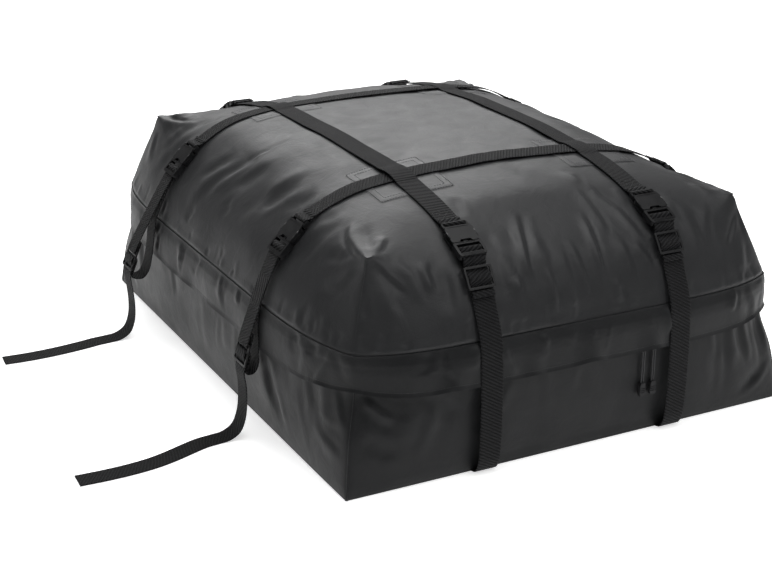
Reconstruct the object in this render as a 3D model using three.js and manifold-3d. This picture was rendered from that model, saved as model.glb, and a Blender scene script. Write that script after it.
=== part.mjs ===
// Soft waterproof cargo bag for a hitch carrier or roof rack.
// Units are millimetres, +Z is up, the bag stands on z = 0 and is centred on x = y = 0.
// The zip pulls are on the front, which faces -Y. The short side lies along X, the long side along Y.

import * as THREE from 'three';
import { mergeVertices } from 'three/addons/utils/BufferGeometryUtils.js';
import Module from 'manifold-3d';

const wasm = await Module();
wasm.setup();

// ---------- driving dimensions ----------

const WIDTH = 860;              // across the front, at the bottom edge
const LENGTH = 1100;            // front to rear, at the bottom edge
const GAP = 0.4;                // clearance between pieces that touch

const FABRIC = 2.5;             // coated fabric with its seam allowance
const BOTTOM = 5;               // padded bottom panel
const SEAM_Z = 232;             // seam that holds the lid panel and the storm flap
const SEAM_INSET = 29;          // how far the corners are drawn in at that seam
const WALL_BULGE = 13;          // how far the middle of a wall swells past the bottom edge
const ZIP_Z = 205;              // line on which the lid parts from the tub
const ZIP_GAP = 1.5;            // half of the space between the tub's rim and the lid's rim
const TAPE = 13;                // visible height of each zip tape
const TAPE_THICK = 1.2;

const FLAP_LOW_Z = 152;         // lower edge of the storm flap
const FLAP_RISE = 12;           // how much higher that edge is at the corners
const FLAP_OFF = 7.2;           // space behind the flap for the zip sliders
const FLAP_THICK = 1.8;

const WEBBING = 40;             // width of every strap
const WEB_THICK = 1.8;
const LONG_STRAP_X = 183;       // the two straps that run front to rear and under the bag
const CROSS_STRAP_Y = 253;      // the two straps that run from side to side
const PATCH = 150;              // reinforcement patches under the crossings
const PATCH_THICK = 1.2;
const PATCH_LIFT = 1.2;         // clearance between the faceted lid and a patch

const HINGE_Y = 578;            // rear hinge line of the lid, just outside the rear straps

// Outline of the lid at each height: z, corner x and y, middle of side x and y, squareness.
// The first two rows follow the tub, the corners run up the dart seams to their tips at z = 371.
const LID_LEVELS = [
  { z: SEAM_Z, cx: 401, cy: 521, mx: 443, my: 563, p: 6 },
  { z: 268, cx: 390, cy: 510.5, mx: 429, my: 551, p: 5 },
  { z: 300, cx: 379.5, cy: 500, mx: 412, my: 536, p: 4 },
  { z: 345, cx: 363.5, cy: 486, mx: 373, my: 504, p: 3 },
  { z: 371, cx: 355, cy: 478, mx: 343, my: 460, p: 2 },
  { z: 388, cx: 318, cy: 436, mx: 322, my: 424, p: 2 },
  { z: 400, cx: 276, cy: 384, mx: 300, my: 400, p: 2 },
  { z: 410, cx: 235, cy: 330, mx: 278, my: 366, p: 2 },
  { z: 420, cx: 175, cy: 255, mx: 240, my: 304, p: 2 },
  { z: 427, cx: 105, cy: 160, mx: 170, my: 215, p: 2 },
];
const LID_TOP_Z = 430;

// ---------- materials ----------

const finish = (color, roughness, metalness = 0) =>
  new THREE.MeshStandardMaterial({ color, roughness, metalness });
const tarpaulin = finish(0x2b2c2e, 0.48);
const tarpaulinPatch = finish(0x333436, 0.45);
const webbing = finish(0x1b1b1d, 0.8);
const hardware = finish(0x111113, 0.35);
const zipTape = finish(0x161617, 0.75);
const zipMetal = finish(0x2a2a2c, 0.4, 0.6);
const cordMaterial = finish(0x17171a, 0.85);

const bag = new THREE.Group();

function add(name, geometry, material, parent = bag) {
  const mesh = new THREE.Mesh(geometry, material);
  mesh.name = name;
  parent.add(mesh);
  return mesh;
}

// ---------- solids with manifold-3d ----------

function toManifold(geometry) {
  const bare = geometry.clone();
  bare.deleteAttribute('normal');
  bare.deleteAttribute('uv');
  const merged = mergeVertices(bare, 1e-4);
  return new wasm.Manifold(new wasm.Mesh({
    numProp: 3,
    vertProperties: new Float32Array(merged.attributes.position.array),
    triVerts: new Uint32Array(merged.index.array),
  }));
}

function fromManifold(solid) {
  const mesh = solid.getMesh();
  const geometry = new THREE.BufferGeometry();
  geometry.setAttribute('position', new THREE.BufferAttribute(new Float32Array(mesh.vertProperties), 3));
  geometry.setIndex(new THREE.BufferAttribute(new Uint32Array(mesh.triVerts), 1));
  geometry.computeVertexNormals();
  return geometry;
}

// ---------- outline of the bag at a height ----------

function levelAt(z) {
  if (z <= SEAM_Z) {
    const draw = SEAM_INSET * z / SEAM_Z;
    const swell = WALL_BULGE * (1 - Math.max(0, 1 - z / 110) ** 2);
    return {
      z,
      cx: WIDTH / 2 - draw,
      cy: LENGTH / 2 - draw,
      mx: WIDTH / 2 + swell,
      my: LENGTH / 2 + swell,
      p: 6,
    };
  }
  const upper = LID_LEVELS.findIndex((level) => level.z >= z);
  const b = LID_LEVELS[upper];
  const a = LID_LEVELS[upper - 1];
  const t = (z - a.z) / (b.z - a.z);
  const mix = (key) => a[key] + (b[key] - a[key]) * t;
  return { z, cx: mix('cx'), cy: mix('cy'), mx: mix('mx'), my: mix('my'), p: mix('p') };
}

// Point on the outline: side 0 front, 1 right, 2 rear, 3 left, t from -1 to 1 anticlockwise.
function outlinePoint(level, side, t, grow = 0) {
  const belly = 1 - Math.abs(t) ** level.p;
  const cx = level.cx + grow;
  const cy = level.cy + grow;
  const y = cy + (level.my - level.cy) * belly;
  const x = cx + (level.mx - level.cx) * belly;
  if (side === 0) return new THREE.Vector3(t * cx, -y, level.z);
  if (side === 1) return new THREE.Vector3(x, t * cy, level.z);
  if (side === 2) return new THREE.Vector3(-t * cx, y, level.z);
  return new THREE.Vector3(-x, -t * cy, level.z);
}

function isInside(level, x, y) {
  const front = level.cy + (level.my - level.cy) * (1 - (Math.abs(x) / level.cx) ** level.p);
  const side = level.cx + (level.mx - level.cx) * (1 - (Math.abs(y) / level.cy) ** level.p);
  return Math.abs(y) <= front && Math.abs(x) <= side;
}

// Height of the lid's outer face above a point of the plan.
function lidHeight(x, y) {
  let low = SEAM_Z;
  let high = LID_LEVELS.at(-1).z;
  if (isInside(levelAt(high), x, y)) {
    const rim = LID_LEVELS.at(-1);
    const out = Math.min(1, Math.max(Math.abs(x) / rim.mx, Math.abs(y) / rim.my));
    return LID_TOP_Z - (LID_TOP_Z - rim.z) * out;
  }
  for (let i = 0; i < 24; i += 1) {
    const middle = (low + high) / 2;
    if (isInside(levelAt(middle), x, y)) {
      low = middle;
    } else {
      high = middle;
    }
  }
  return low;
}

// ---------- thin panels between two faces ----------

// outer and inner map (u, v) in 0..1 to points. The four edges are closed.
function panelGeometry(outer, inner, columns, rows) {
  const positions = [];
  const index = [];
  const stride = columns.length;
  for (const face of [outer, inner]) {
    for (const v of rows) {
      for (const u of columns) {
        positions.push(...face(u, v).toArray());
      }
    }
  }
  const at = (face, row, column) => face * stride * rows.length + row * stride + column;
  const quad = (a, b, c, d) => index.push(a, b, c, a, c, d);
  for (let j = 0; j < rows.length - 1; j += 1) {
    for (let i = 0; i < stride - 1; i += 1) {
      quad(at(0, j, i), at(0, j, i + 1), at(0, j + 1, i + 1), at(0, j + 1, i));
      quad(at(1, j, i), at(1, j + 1, i), at(1, j + 1, i + 1), at(1, j, i + 1));
    }
    const last = stride - 1;
    quad(at(0, j, 0), at(0, j + 1, 0), at(1, j + 1, 0), at(1, j, 0));
    quad(at(0, j, last), at(1, j, last), at(1, j + 1, last), at(0, j + 1, last));
  }
  for (let i = 0; i < stride - 1; i += 1) {
    const top = rows.length - 1;
    quad(at(0, 0, i), at(1, 0, i), at(1, 0, i + 1), at(0, 0, i + 1));
    quad(at(0, top, i), at(0, top, i + 1), at(1, top, i + 1), at(1, top, i));
  }
  const geometry = new THREE.BufferGeometry();
  geometry.setAttribute('position', new THREE.Float32BufferAttribute(positions, 3));
  geometry.setIndex(index);
  geometry.computeVertexNormals();
  return geometry;
}

const steps = (count, from = 0, to = 1) =>
  Array.from({ length: count + 1 }, (_, i) => from + (to - from) * i / count);

// Samples along one side, closer together towards the corners.
const sideSteps = [-1, -0.94, -0.84, -0.7, -0.5, -0.25, 0, 0.25, 0.5, 0.7, 0.84, 0.94, 1];

function wallGeometry(side, lowZ, highZ) {
  const face = (grow) => (t, z) => outlinePoint(levelAt(z), side, t, grow);
  const shortened = sideSteps.map((t) => t * 0.992);
  return panelGeometry(face(0), face(-FABRIC), shortened, steps(4, lowZ, highZ));
}

// A band that runs along the left, front and right sides.
// u counts sides: 0..1 left, 1..2 front, 2..3 right.
function bandGeometry(outerFace, innerFace, rows) {
  const columns = [];
  for (const side of [0, 1, 2]) {
    const samples = sideSteps.map((t) => side + (t + 1) / 2);
    columns.push(...(side === 0 ? samples.slice(1) : samples.slice(1, side === 2 ? -1 : undefined)));
  }
  return panelGeometry(outerFace, innerFace, columns, rows);
}

function bandPoint(u, z, grow) {
  const order = [3, 0, 1];
  const k = Math.min(2, Math.floor(u + 1e-9));
  const t = (u - k) * 2 - 1;
  return outlinePoint(levelAt(z), order[k], Math.min(1, t), grow);
}

// ---------- tub ----------

function bottomGeometry() {
  const channelDeep = WEB_THICK + GAP;
  const half = WIDTH / 2 - 6;
  const channel = WEBBING / 2 + 1;
  const profile = new THREE.Shape([
    new THREE.Vector2(-half, 0),
    new THREE.Vector2(-LONG_STRAP_X - channel, 0),
    new THREE.Vector2(-LONG_STRAP_X - channel, channelDeep),
    new THREE.Vector2(-LONG_STRAP_X + channel, channelDeep),
    new THREE.Vector2(-LONG_STRAP_X + channel, 0),
    new THREE.Vector2(LONG_STRAP_X - channel, 0),
    new THREE.Vector2(LONG_STRAP_X - channel, channelDeep),
    new THREE.Vector2(LONG_STRAP_X + channel, channelDeep),
    new THREE.Vector2(LONG_STRAP_X + channel, 0),
    new THREE.Vector2(half, 0),
    new THREE.Vector2(half, BOTTOM),
    new THREE.Vector2(-half, BOTTOM),
  ]);
  const depth = LENGTH - 12;
  const geometry = new THREE.ExtrudeGeometry(profile, { depth, bevelEnabled: false });
  geometry.rotateX(Math.PI / 2);
  geometry.translate(0, depth / 2, 0);
  return geometry;
}

add('bottom_panel', bottomGeometry(), tarpaulin);
['front_wall', 'right_wall', 'rear_wall', 'left_wall'].forEach((name, side) => {
  add(name, wallGeometry(side, BOTTOM + GAP, ZIP_Z - ZIP_GAP), tarpaulin);
});

function tapeGeometry(lowZ, highZ) {
  const outer = (u, z) => bandPoint(u, z, GAP + TAPE_THICK);
  const inner = (u, z) => bandPoint(u, z, GAP);
  return bandGeometry(outer, inner, [lowZ, highZ]);
}
add('zip_tape_lower', tapeGeometry(ZIP_Z - ZIP_GAP - TAPE, ZIP_Z - 0.5), zipTape);
add('zip_tape_upper', tapeGeometry(ZIP_Z + 0.5, ZIP_Z + ZIP_GAP + TAPE), zipTape);

// ---------- lid ----------

// One sheet: skirt from the zip to the seam, slopes with four corner darts, and a low crown.
function lidGeometry() {
  const levels = [levelAt(ZIP_Z + ZIP_GAP), levelAt(220), ...LID_LEVELS];
  const around = [];
  for (let side = 0; side < 4; side += 1) {
    for (const t of sideSteps.slice(0, -1)) {
      around.push([side, t]);
    }
  }
  const rings = [];
  for (const level of levels) {
    rings.push(around.map(([side, t]) => outlinePoint(level, side, t)));
  }
  const crown = new THREE.Vector3(0, 0, LID_TOP_Z);
  const underside = new THREE.Vector3(0, 0, LID_TOP_Z - FABRIC);
  const inner = levels.map((level) => {
    const flat = Math.max(0, Math.min(1, (level.z - 330) / 70));
    const lowered = { ...level, z: level.z - FABRIC * flat };
    return around.map(([side, t]) => outlinePoint(lowered, side, t, -FABRIC));
  });
  const sequence = [...rings.toReversed(), ...inner];
  const count = around.length;
  const shell = sequence.flat().map((point) => point.toArray());
  const positions = [crown.toArray(), ...shell, underside.toArray()];
  const index = [];
  const at = (ring, i) => 1 + ring * count + (i % count);
  const lastRing = sequence.length - 1;
  for (let i = 0; i < count; i += 1) {
    index.push(0, at(0, i), at(0, i + 1));
    for (let ring = 0; ring < lastRing; ring += 1) {
      index.push(at(ring, i), at(ring + 1, i), at(ring + 1, i + 1));
      index.push(at(ring, i), at(ring + 1, i + 1), at(ring, i + 1));
    }
    index.push(at(lastRing, i), positions.length - 1, at(lastRing, i + 1));
  }
  const geometry = new THREE.BufferGeometry();
  geometry.setAttribute('position', new THREE.Float32BufferAttribute(positions.flat(), 3));
  geometry.setIndex(index);
  geometry.computeVertexNormals();
  return geometry;
}
add('lid', lidGeometry(), tarpaulin);

// Storm flap: sewn on at the seam, hangs clear of the zip on the front and both sides.
function flapGeometry() {
  const rows = [0, 0.4, 0.8, 0.92, 1];
  const place = (extra) => (u, v) => {
    const t = ((u % 1) * 2 - 1) ** 8;
    const lowZ = FLAP_LOW_Z + FLAP_RISE * t;
    const z = lowZ + (SEAM_Z - 1 - lowZ) * v;
    const flare = Math.min(1, (1 - v) / 0.2);
    return bandPoint(u, z, GAP + (FLAP_OFF - GAP) * flare + extra);
  };
  return bandGeometry(place(FLAP_THICK), place(0), rows);
}
add('storm_flap', flapGeometry(), tarpaulin);

// Patches lie on the lid under the strap crossings.
function patchGeometry(centreX, centreY) {
  const reach = PATCH / 2;
  const face = (lift) => (u, v) => {
    const x = centreX + u;
    const y = centreY + v;
    return new THREE.Vector3(x, y, lidHeight(x, y) + lift);
  };
  const marks = steps(6, -reach, reach);
  return panelGeometry(face(PATCH_LIFT + PATCH_THICK), face(PATCH_LIFT), marks, marks);
}
for (const [name, sx, sy] of [
  ['patch_front_left', -1, -1],
  ['patch_front_right', 1, -1],
  ['patch_rear_left', -1, 1],
  ['patch_rear_right', 1, 1],
]) {
  add(name, patchGeometry(sx * (LONG_STRAP_X + 4), sy * (CROSS_STRAP_Y + 10)), tarpaulinPatch);
}

// ---------- webbing ----------

const v2 = (x, y) => new THREE.Vector2(x, y);

// Flat strap whose centreline is a polyline of (outward, up) points, extruded across its width.
function ribbonGeometry(points, width = WEBBING) {
  const left = [];
  const right = [];
  points.forEach((point, i) => {
    const before = points[Math.max(0, i - 1)];
    const after = points[Math.min(points.length - 1, i + 1)];
    const inward = point.clone().sub(before);
    const outward = after.clone().sub(point);
    if (i === 0) inward.copy(outward);
    if (i === points.length - 1) outward.copy(inward);
    const tangent = inward.normalize().add(outward.clone().normalize());
    const mitre = 2 / Math.max(1.5, tangent.length());
    tangent.normalize();
    const side = v2(-tangent.y, tangent.x).multiplyScalar(WEB_THICK / 2 * mitre);
    left.push(point.clone().add(side));
    right.push(point.clone().sub(side));
  });
  const shape = new THREE.Shape([...left, ...right.reverse()]);
  const geometry = new THREE.ExtrudeGeometry(shape, { depth: width, bevelEnabled: false });
  geometry.rotateX(Math.PI / 2);
  geometry.translate(0, width / 2, 0);
  return geometry;
}

function smooth(points, count) {
  const route = points.map((point) => new THREE.Vector3(point.x, point.y, 0));
  const curve = new THREE.CatmullRomCurve3(route, false, 'centripetal');
  return curve.getSpacedPoints(count).map((point) => v2(point.x, point.y));
}

// Line of travel of a piece of hardware: s runs down the strap, n stands out of the bag.
function track(u, v, degreesDown) {
  const a = degreesDown * Math.PI / 180;
  const along = v2(Math.cos(a), -Math.sin(a));
  const out = v2(Math.sin(a), Math.cos(a));
  return {
    origin: v2(u, v),
    angle: a,
    at: (s, n) => v2(u + along.x * s + out.x * n, v + along.y * s + out.y * n),
  };
}

// Half-turn of webbing around a bar of a piece of hardware, seen along the strap's width.
function turnAround(line, s, radius, from, to, count = 6) {
  return steps(count, from, to).map((degrees) => {
    const a = degrees * Math.PI / 180;
    return line.at(s + radius * Math.cos(a), radius * Math.sin(a));
  });
}

// ---------- side-release buckle and tri-glide, laid out along s with n as thickness ----------

const BUCKLE = { half: 25.5, neck: 23.6, female: 46, whole: 76, thick: 12, pocketFrom: 13, pocket: 8 };
const SLOT_HALF = WEBBING / 2 + 0.8;
const FEMALE_BAR = { from: 0, to: 3.5, thick: 4.8, slotTo: 10.5 };
const MALE = { body: 46.4, slot: 51, bar: 57, barTo: 62.5, end: 69.5, thick: 10 };
const TRI_GLIDE = { thick: 3.2, half: 25, bar: 4.5, centre: 17, centreTo: 23, lower: 34, whole: 38.5 };

function outline(points) {
  return new THREE.Shape(points.map(([s, w]) => v2(s, w)));
}

function mirrored(points) {
  return [...points, ...points.toReversed().map(([s, w]) => [s, -w])];
}

function slab(shape, low, high) {
  const geometry = new THREE.ExtrudeGeometry(shape, { depth: high - low, bevelEnabled: false });
  geometry.translate(0, 0, low);
  return toManifold(geometry);
}

function block(s0, s1, w0, w1, n0, n1) {
  const geometry = new THREE.BoxGeometry(s1 - s0, w1 - w0, n1 - n0);
  geometry.translate((s0 + s1) / 2, (w0 + w1) / 2, (n0 + n1) / 2);
  return toManifold(geometry);
}

function femaleGeometry() {
  const { half, neck, female, thick, pocketFrom, pocket } = BUCKLE;
  const shell = slab(outline(mirrored([
    [9, neck - 2], [11, neck], [14, neck], [17, half], [female - 3, half], [female, half - 2.5],
  ])), -thick / 2, thick / 2);
  const frame = slab(outline(mirrored([[0, neck - 2], [2, neck], [12, neck]])), -3, 3);
  const slot = block(FEMALE_BAR.to, FEMALE_BAR.slotTo, -SLOT_HALF, SLOT_HALF, -8, 8);
  const barRelief = block(-1, FEMALE_BAR.slotTo, -SLOT_HALF, SLOT_HALF, FEMALE_BAR.thick / 2, 8);
  const barReliefBelow = block(-1, FEMALE_BAR.slotTo, -SLOT_HALF, SLOT_HALF, -8, -FEMALE_BAR.thick / 2);
  const hollow = block(pocketFrom, female + 1, -half - 1, half + 1, -pocket / 2, pocket / 2);
  const topNotch = slab(outline(mirrored([[female - 5, 9], [female + 1, 13]])), pocket / 2 - 1, thick);
  return fromManifold(
    shell.add(frame).subtract(slot).subtract(barRelief).subtract(barReliefBelow)
      .subtract(hollow).subtract(topNotch),
  );
}

function maleGeometry() {
  const { half, whole } = BUCKLE;
  const { body, slot, bar, barTo, end, thick } = MALE;
  const rails = slab(outline(mirrored([
    [body, half - 1], [body + 2, half], [whole - 4, half], [whole, half - 3],
  ])), -thick / 2, thick / 2);
  const window = block(slot, whole + 1, -SLOT_HALF, SLOT_HALF, -8, 8);
  const firstBar = block(bar, barTo, -SLOT_HALF - 1, SLOT_HALF + 1, -2, 2);
  const endBar = block(end, whole, -SLOT_HALF - 1, SLOT_HALF + 1, 1.5, thick / 2);
  const tongue = slab(outline(mirrored([[18, 1.5], [22, 3.5], [body + 1, 3.5]])), -3.4, 3.4);
  const arm = (side) => slab(outline([
    [body + 1, side * 16], [28, side * 19], [20, side * 18], [16, side * 20],
    [18, side * 24], [26, side * 25], [30, side * 22.5], [body + 1, side * 21],
  ]), -3.4, 3.4);
  return fromManifold(
    rails.subtract(window).add(firstBar).add(endBar).add(tongue).add(arm(1)).add(arm(-1)),
  );
}

function triGlideGeometry() {
  const { thick, half, bar, centre, centreTo, lower, whole } = TRI_GLIDE;
  const plate = slab(outline(mirrored([[0, half - 3], [3, half], [whole - 3, half], [whole, half - 3]])),
    -thick / 2, thick / 2);
  const upperSlot = block(bar, centre, -SLOT_HALF, SLOT_HALF, -5, 5);
  const lowerSlot = block(centreTo, lower, -SLOT_HALF, SLOT_HALF, -5, 5);
  return fromManifold(plate.subtract(upperSlot).subtract(lowerSlot));
}

// Puts a piece laid out along s, width, n onto its line of travel.
function onTrack(geometry, line) {
  geometry.rotateY(line.angle);
  geometry.translate(line.origin.x, 0, line.origin.y);
  return geometry;
}

// ---------- the four strap ends, in a plane with u outward and v up ----------

const FRONT = { buckle: track(443, 390, 26.6), triGlide: track(518.5, 343, 55.8) };
const SIDE = { buckle: track(360.4, 370.1, 45.5) };
const SIDE_NEAR = track(471.5, 169, 73);   // tri-glides hang on the side webbing
const SIDE_FAR = track(494, 177, 66);

const FEMALE_LOOP = 4.2;        // radius of the webbing around the female half's bar
const MALE_LOOP = 4.6;          // the same around the male half's first bar
const BAR_S = 1.75;             // middle of the female half's bar
const MALE_BAR_S = (MALE.bar + MALE.barTo) / 2;

// Strap over the lid, from one female half to the other. height(u) is the lid below the strap.
function upperStrap(line, height, lift, crossing, crossingLift) {
  const end = line.at(BAR_S, FEMALE_LOOP);
  const climb = 75;
  const onTop = WEBBING / 2 + 4;
  const marks = [...steps(5, 0, crossing - onTop - 14), crossing - onTop, crossing + onTop];
  const half = [...marks, ...steps(7, crossing + onTop + 10, end.x - 12)].map((u) => {
    const near = Math.max(0, Math.min(1, (u - end.x + climb) / climb));
    const bump = Math.max(0, Math.min(1, (onTop + 10 - Math.abs(u - crossing)) / 10));
    const stand = end.y - height(end.x);
    return v2(u, height(u) + lift + bump * crossingLift + (stand - lift) * near ** 2 * 0.8);
  });
  const turn = turnAround(line, BAR_S, FEMALE_LOOP, 90, -90, 8);
  const tail = [
    line.at(BAR_S - 8, -FEMALE_LOOP + 0.3),
    line.at(BAR_S - 18, -FEMALE_LOOP + 0.3),
  ];
  const outgoing = [...half, ...turn, ...tail];
  const mirror = outgoing.slice(1).map((point) => v2(-point.x, point.y)).toReversed();
  return ribbonGeometry([...mirror, ...outgoing]);
}

// Webbing end on the front and rear: over the tri-glide's bar, round the male half's bar and back.
function strapEnd() {
  const { buckle, triGlide } = FRONT;
  const over = [
    triGlide.at(52, -3.2), triGlide.at(35, -3.2), triGlide.at(23.2, 3.1), triGlide.at(16.8, 3.1),
    triGlide.at(4.2, -3.1), triGlide.at(-1, -3.1),
  ];
  const toMale = [
    buckle.at(77, -0.2), buckle.at(69, -0.2), buckle.at(65, 2.2),
    ...turnAround(buckle, MALE_BAR_S, MALE_LOOP, 55, 300, 10),
  ];
  const back = [
    buckle.at(66, -4), buckle.at(77, -4),
    triGlide.at(-2, -6.2), triGlide.at(12, -6.2), triGlide.at(28, -6.2), triGlide.at(40, -6.2),
  ];
  return ribbonGeometry([...over, ...toMale, ...back]);
}

const lowerRoute = [
  v2(556.5, 268), v2(569, 238), v2(573.9, 215), v2(574.2, 206.8),
];
const wallRoute = [
  v2(574.3, 203.4), v2(576.2, 165), v2(577, 120), v2(575.4, 60), v2(571, 22), v2(562, 5.2),
  v2(549, WEB_THICK / 2),
];

// Side webbing: sewn to the tri-glide's top bar, round the male half's bar, down past the flap,
// back up behind the tri-glide, over its middle bar and out below it.
function sideLoop(triGlide, innerRoute) {
  const { buckle } = SIDE;
  const sewn = [triGlide.at(-20, -3.2)];
  const roundTopBar = turnAround(triGlide, 3.2, 3.2, -90, 90, 6);
  const toMale = [
    buckle.at(79, -0.2), buckle.at(69, -0.2), buckle.at(65, 2.2),
    ...turnAround(buckle, MALE_BAR_S, MALE_LOOP, 55, 300, 10),
    buckle.at(66, -4), buckle.at(76, -4),
  ];
  const descent = [buckle.at(76, -4), ...innerRoute, triGlide.at(50, -9), triGlide.at(36, -8)];
  const down = smooth(descent, 22).slice(1);
  const over = [
    triGlide.at(18, -7.2), triGlide.at(12.5, -5), triGlide.at(10.8, -2), triGlide.at(10.8, 1),
    triGlide.at(12.6, 3.1), triGlide.at(23.2, 3.1), triGlide.at(34, -3.2), triGlide.at(40, -3.2),
  ];
  return ribbonGeometry([...sewn, ...roundTopBar, ...toMale, ...down, ...over]);
}

// ---------- straps and hardware in place ----------

function planeGroup(x, y, turn) {
  const group = new THREE.Group();
  group.position.set(x, y, 0);
  group.rotation.z = turn;
  bag.add(group);
  return group;
}

const strapLift = PATCH_LIFT + PATCH_THICK + GAP * 2 + WEB_THICK / 2;
const frontToRear = -Math.PI / 2;

// Highest point of the lid under a strap's width.
function heightUnder(pointAt) {
  return Math.max(...steps(4, -1, 1).map((side) => {
    const [x, y] = pointAt(side * (WEBBING / 2 + 1));
    return lidHeight(x, y);
  }));
}

for (const [name, x] of [['long_strap_left', -LONG_STRAP_X], ['long_strap_right', LONG_STRAP_X]]) {
  const inner = CROSS_STRAP_Y - WEBBING / 2;
  const height = (u) => {
    const level = Math.abs(u - CROSS_STRAP_Y) <= WEBBING / 2 + 4 ? inner : u;
    return heightUnder((w) => [x + w, level]);
  };
  const geometry = upperStrap(FRONT.buckle, height, strapLift, CROSS_STRAP_Y, WEB_THICK + GAP);
  add(name, geometry, webbing, planeGroup(x, 0, frontToRear));
}
for (const [name, y] of [['cross_strap_front', -CROSS_STRAP_Y], ['cross_strap_rear', CROSS_STRAP_Y]]) {
  const height = (u) => heightUnder((w) => [u, y + w]);
  const geometry = upperStrap(SIDE.buckle, height, strapLift, LONG_STRAP_X, 0);
  add(name, geometry, webbing, planeGroup(0, y, 0));
}

// Each long strap is closed under the bag by one belt that starts below the front tri-glide
// and ends at the hinge line; the stretch above that line turns with the lid.
for (const [name, x] of [['belt_left', -LONG_STRAP_X], ['belt_right', LONG_STRAP_X]]) {
  const rear = wallRoute.map((point) => v2(-point.x, point.y)).toReversed();
  const front = [FRONT.triGlide.at(44, -6.2), ...lowerRoute.slice(0, 3)];
  const route = [...front, ...wallRoute, v2(0, WEB_THICK / 2), ...rear];
  add(name, ribbonGeometry(route), webbing, planeGroup(x, 0, frontToRear));
}

for (const [name, x] of [['rear_strap_left', -LONG_STRAP_X], ['rear_strap_right', LONG_STRAP_X]]) {
  const route = [FRONT.triGlide.at(44, -6.2), ...lowerRoute];
  add(name, ribbonGeometry(route), webbing, planeGroup(x, 0, -frontToRear));
}

const ends = [
  { place: 'front_left', x: -LONG_STRAP_X, turn: frontToRear },
  { place: 'front_right', x: LONG_STRAP_X, turn: frontToRear },
  { place: 'rear_left', x: -LONG_STRAP_X, turn: -frontToRear },
  { place: 'rear_right', x: LONG_STRAP_X, turn: -frontToRear },
];
for (const { place, x, turn } of ends) {
  const group = planeGroup(x, 0, turn);
  add(`female_${place}`, onTrack(femaleGeometry(), FRONT.buckle), hardware, group);
  add(`male_${place}`, onTrack(maleGeometry(), FRONT.buckle), hardware, group);
  add(`tri_glide_${place}`, onTrack(triGlideGeometry(), FRONT.triGlide), hardware, group);
  add(`strap_end_${place}`, strapEnd(), webbing, group);
}

const nearInner = [
  v2(423, 296), v2(440, 262), v2(450.5, 236), v2(454.3, 212), v2(454.6, 165), v2(457, 128), v2(466, 117),
];
const farInner = [
  v2(423, 296), v2(440, 262), v2(451, 236), v2(456, 212), v2(463, 168), v2(473, 134), v2(485, 122),
];
const sides = [
  { place: 'left_front', y: -CROSS_STRAP_Y, turn: Math.PI, line: SIDE_NEAR, inner: nearInner },
  { place: 'left_rear', y: CROSS_STRAP_Y, turn: Math.PI, line: SIDE_FAR, inner: farInner },
  { place: 'right_rear', y: CROSS_STRAP_Y, turn: 0, line: SIDE_NEAR, inner: nearInner },
  { place: 'right_front', y: -CROSS_STRAP_Y, turn: 0, line: SIDE_FAR, inner: farInner },
];
for (const { place, y, turn, line, inner } of sides) {
  const group = planeGroup(0, y, turn);
  add(`female_${place}`, onTrack(femaleGeometry(), SIDE.buckle), hardware, group);
  add(`male_${place}`, onTrack(maleGeometry(), SIDE.buckle), hardware, group);
  add(`tri_glide_${place}`, onTrack(triGlideGeometry(), line), hardware, group);
  add(`side_loop_${place}`, sideLoop(line, inner), webbing, group);
}

// ---------- loose webbing tails on the left, hanging to the floor and lying on it ----------

const TAIL_Z = 1.2;             // height of the middle of webbing that lies on the floor
const tailNear = SIDE_NEAR.at(40.4, -3.2);
const tailFar = SIDE_FAR.at(40.4, -3.2);

function tailGeometry(points) {
  const h = WEBBING / 2;
  const t = WEB_THICK / 2;
  const section = new THREE.Shape([
    v2(-h, -t * 0.4), v2(-h + 1.5, -t), v2(h - 1.5, -t), v2(h, -t * 0.4),
    v2(h, t * 0.4), v2(h - 1.5, t), v2(-h + 1.5, t), v2(-h, t * 0.4),
  ]);
  const path = new THREE.CatmullRomCurve3(points, false, 'centripetal');
  return new THREE.ExtrudeGeometry(section, { steps: 34, extrudePath: path, bevelEnabled: false });
}

const v3 = (x, y, z) => new THREE.Vector3(x, y, z);

add('tail_left_front', tailGeometry([
  v3(-tailNear.x, -CROSS_STRAP_Y, tailNear.y),
  v3(-tailNear.x - 2, -CROSS_STRAP_Y, tailNear.y - 12),
  v3(-479, -CROSS_STRAP_Y, 96),
  v3(-479, -CROSS_STRAP_Y, 66),
  v3(-483, -CROSS_STRAP_Y, 36),
  v3(-493, -CROSS_STRAP_Y, 14),
  v3(-511, -CROSS_STRAP_Y, 3.4),
  v3(-532, -CROSS_STRAP_Y, TAIL_Z),
  v3(-556, -256, TAIL_Z),
  v3(-586, -266, TAIL_Z),
  v3(-618, -278, TAIL_Z),
  v3(-654, -288, TAIL_Z),
  v3(-694, -293, TAIL_Z),
  v3(-738, -294, TAIL_Z),
  v3(-783, -292, TAIL_Z),
]), webbing);

add('tail_left_rear', tailGeometry([
  v3(-tailFar.x, CROSS_STRAP_Y, tailFar.y),
  v3(-tailFar.x - 1, CROSS_STRAP_Y, tailFar.y - 12),
  v3(-506, CROSS_STRAP_Y, 98),
  v3(-504, CROSS_STRAP_Y, 66),
  v3(-507, CROSS_STRAP_Y, 36),
  v3(-517, CROSS_STRAP_Y, 14),
  v3(-535, CROSS_STRAP_Y, 3.4),
  v3(-556, CROSS_STRAP_Y, TAIL_Z),
  v3(-580, 251, TAIL_Z),
  v3(-612, 245, TAIL_Z),
  v3(-648, 240, TAIL_Z),
  v3(-686, 237, TAIL_Z),
  v3(-726, 237, TAIL_Z),
  v3(-765, 240, TAIL_Z),
]), webbing);

// ---------- zip sliders and their pulls, behind the flap on the front ----------

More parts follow.
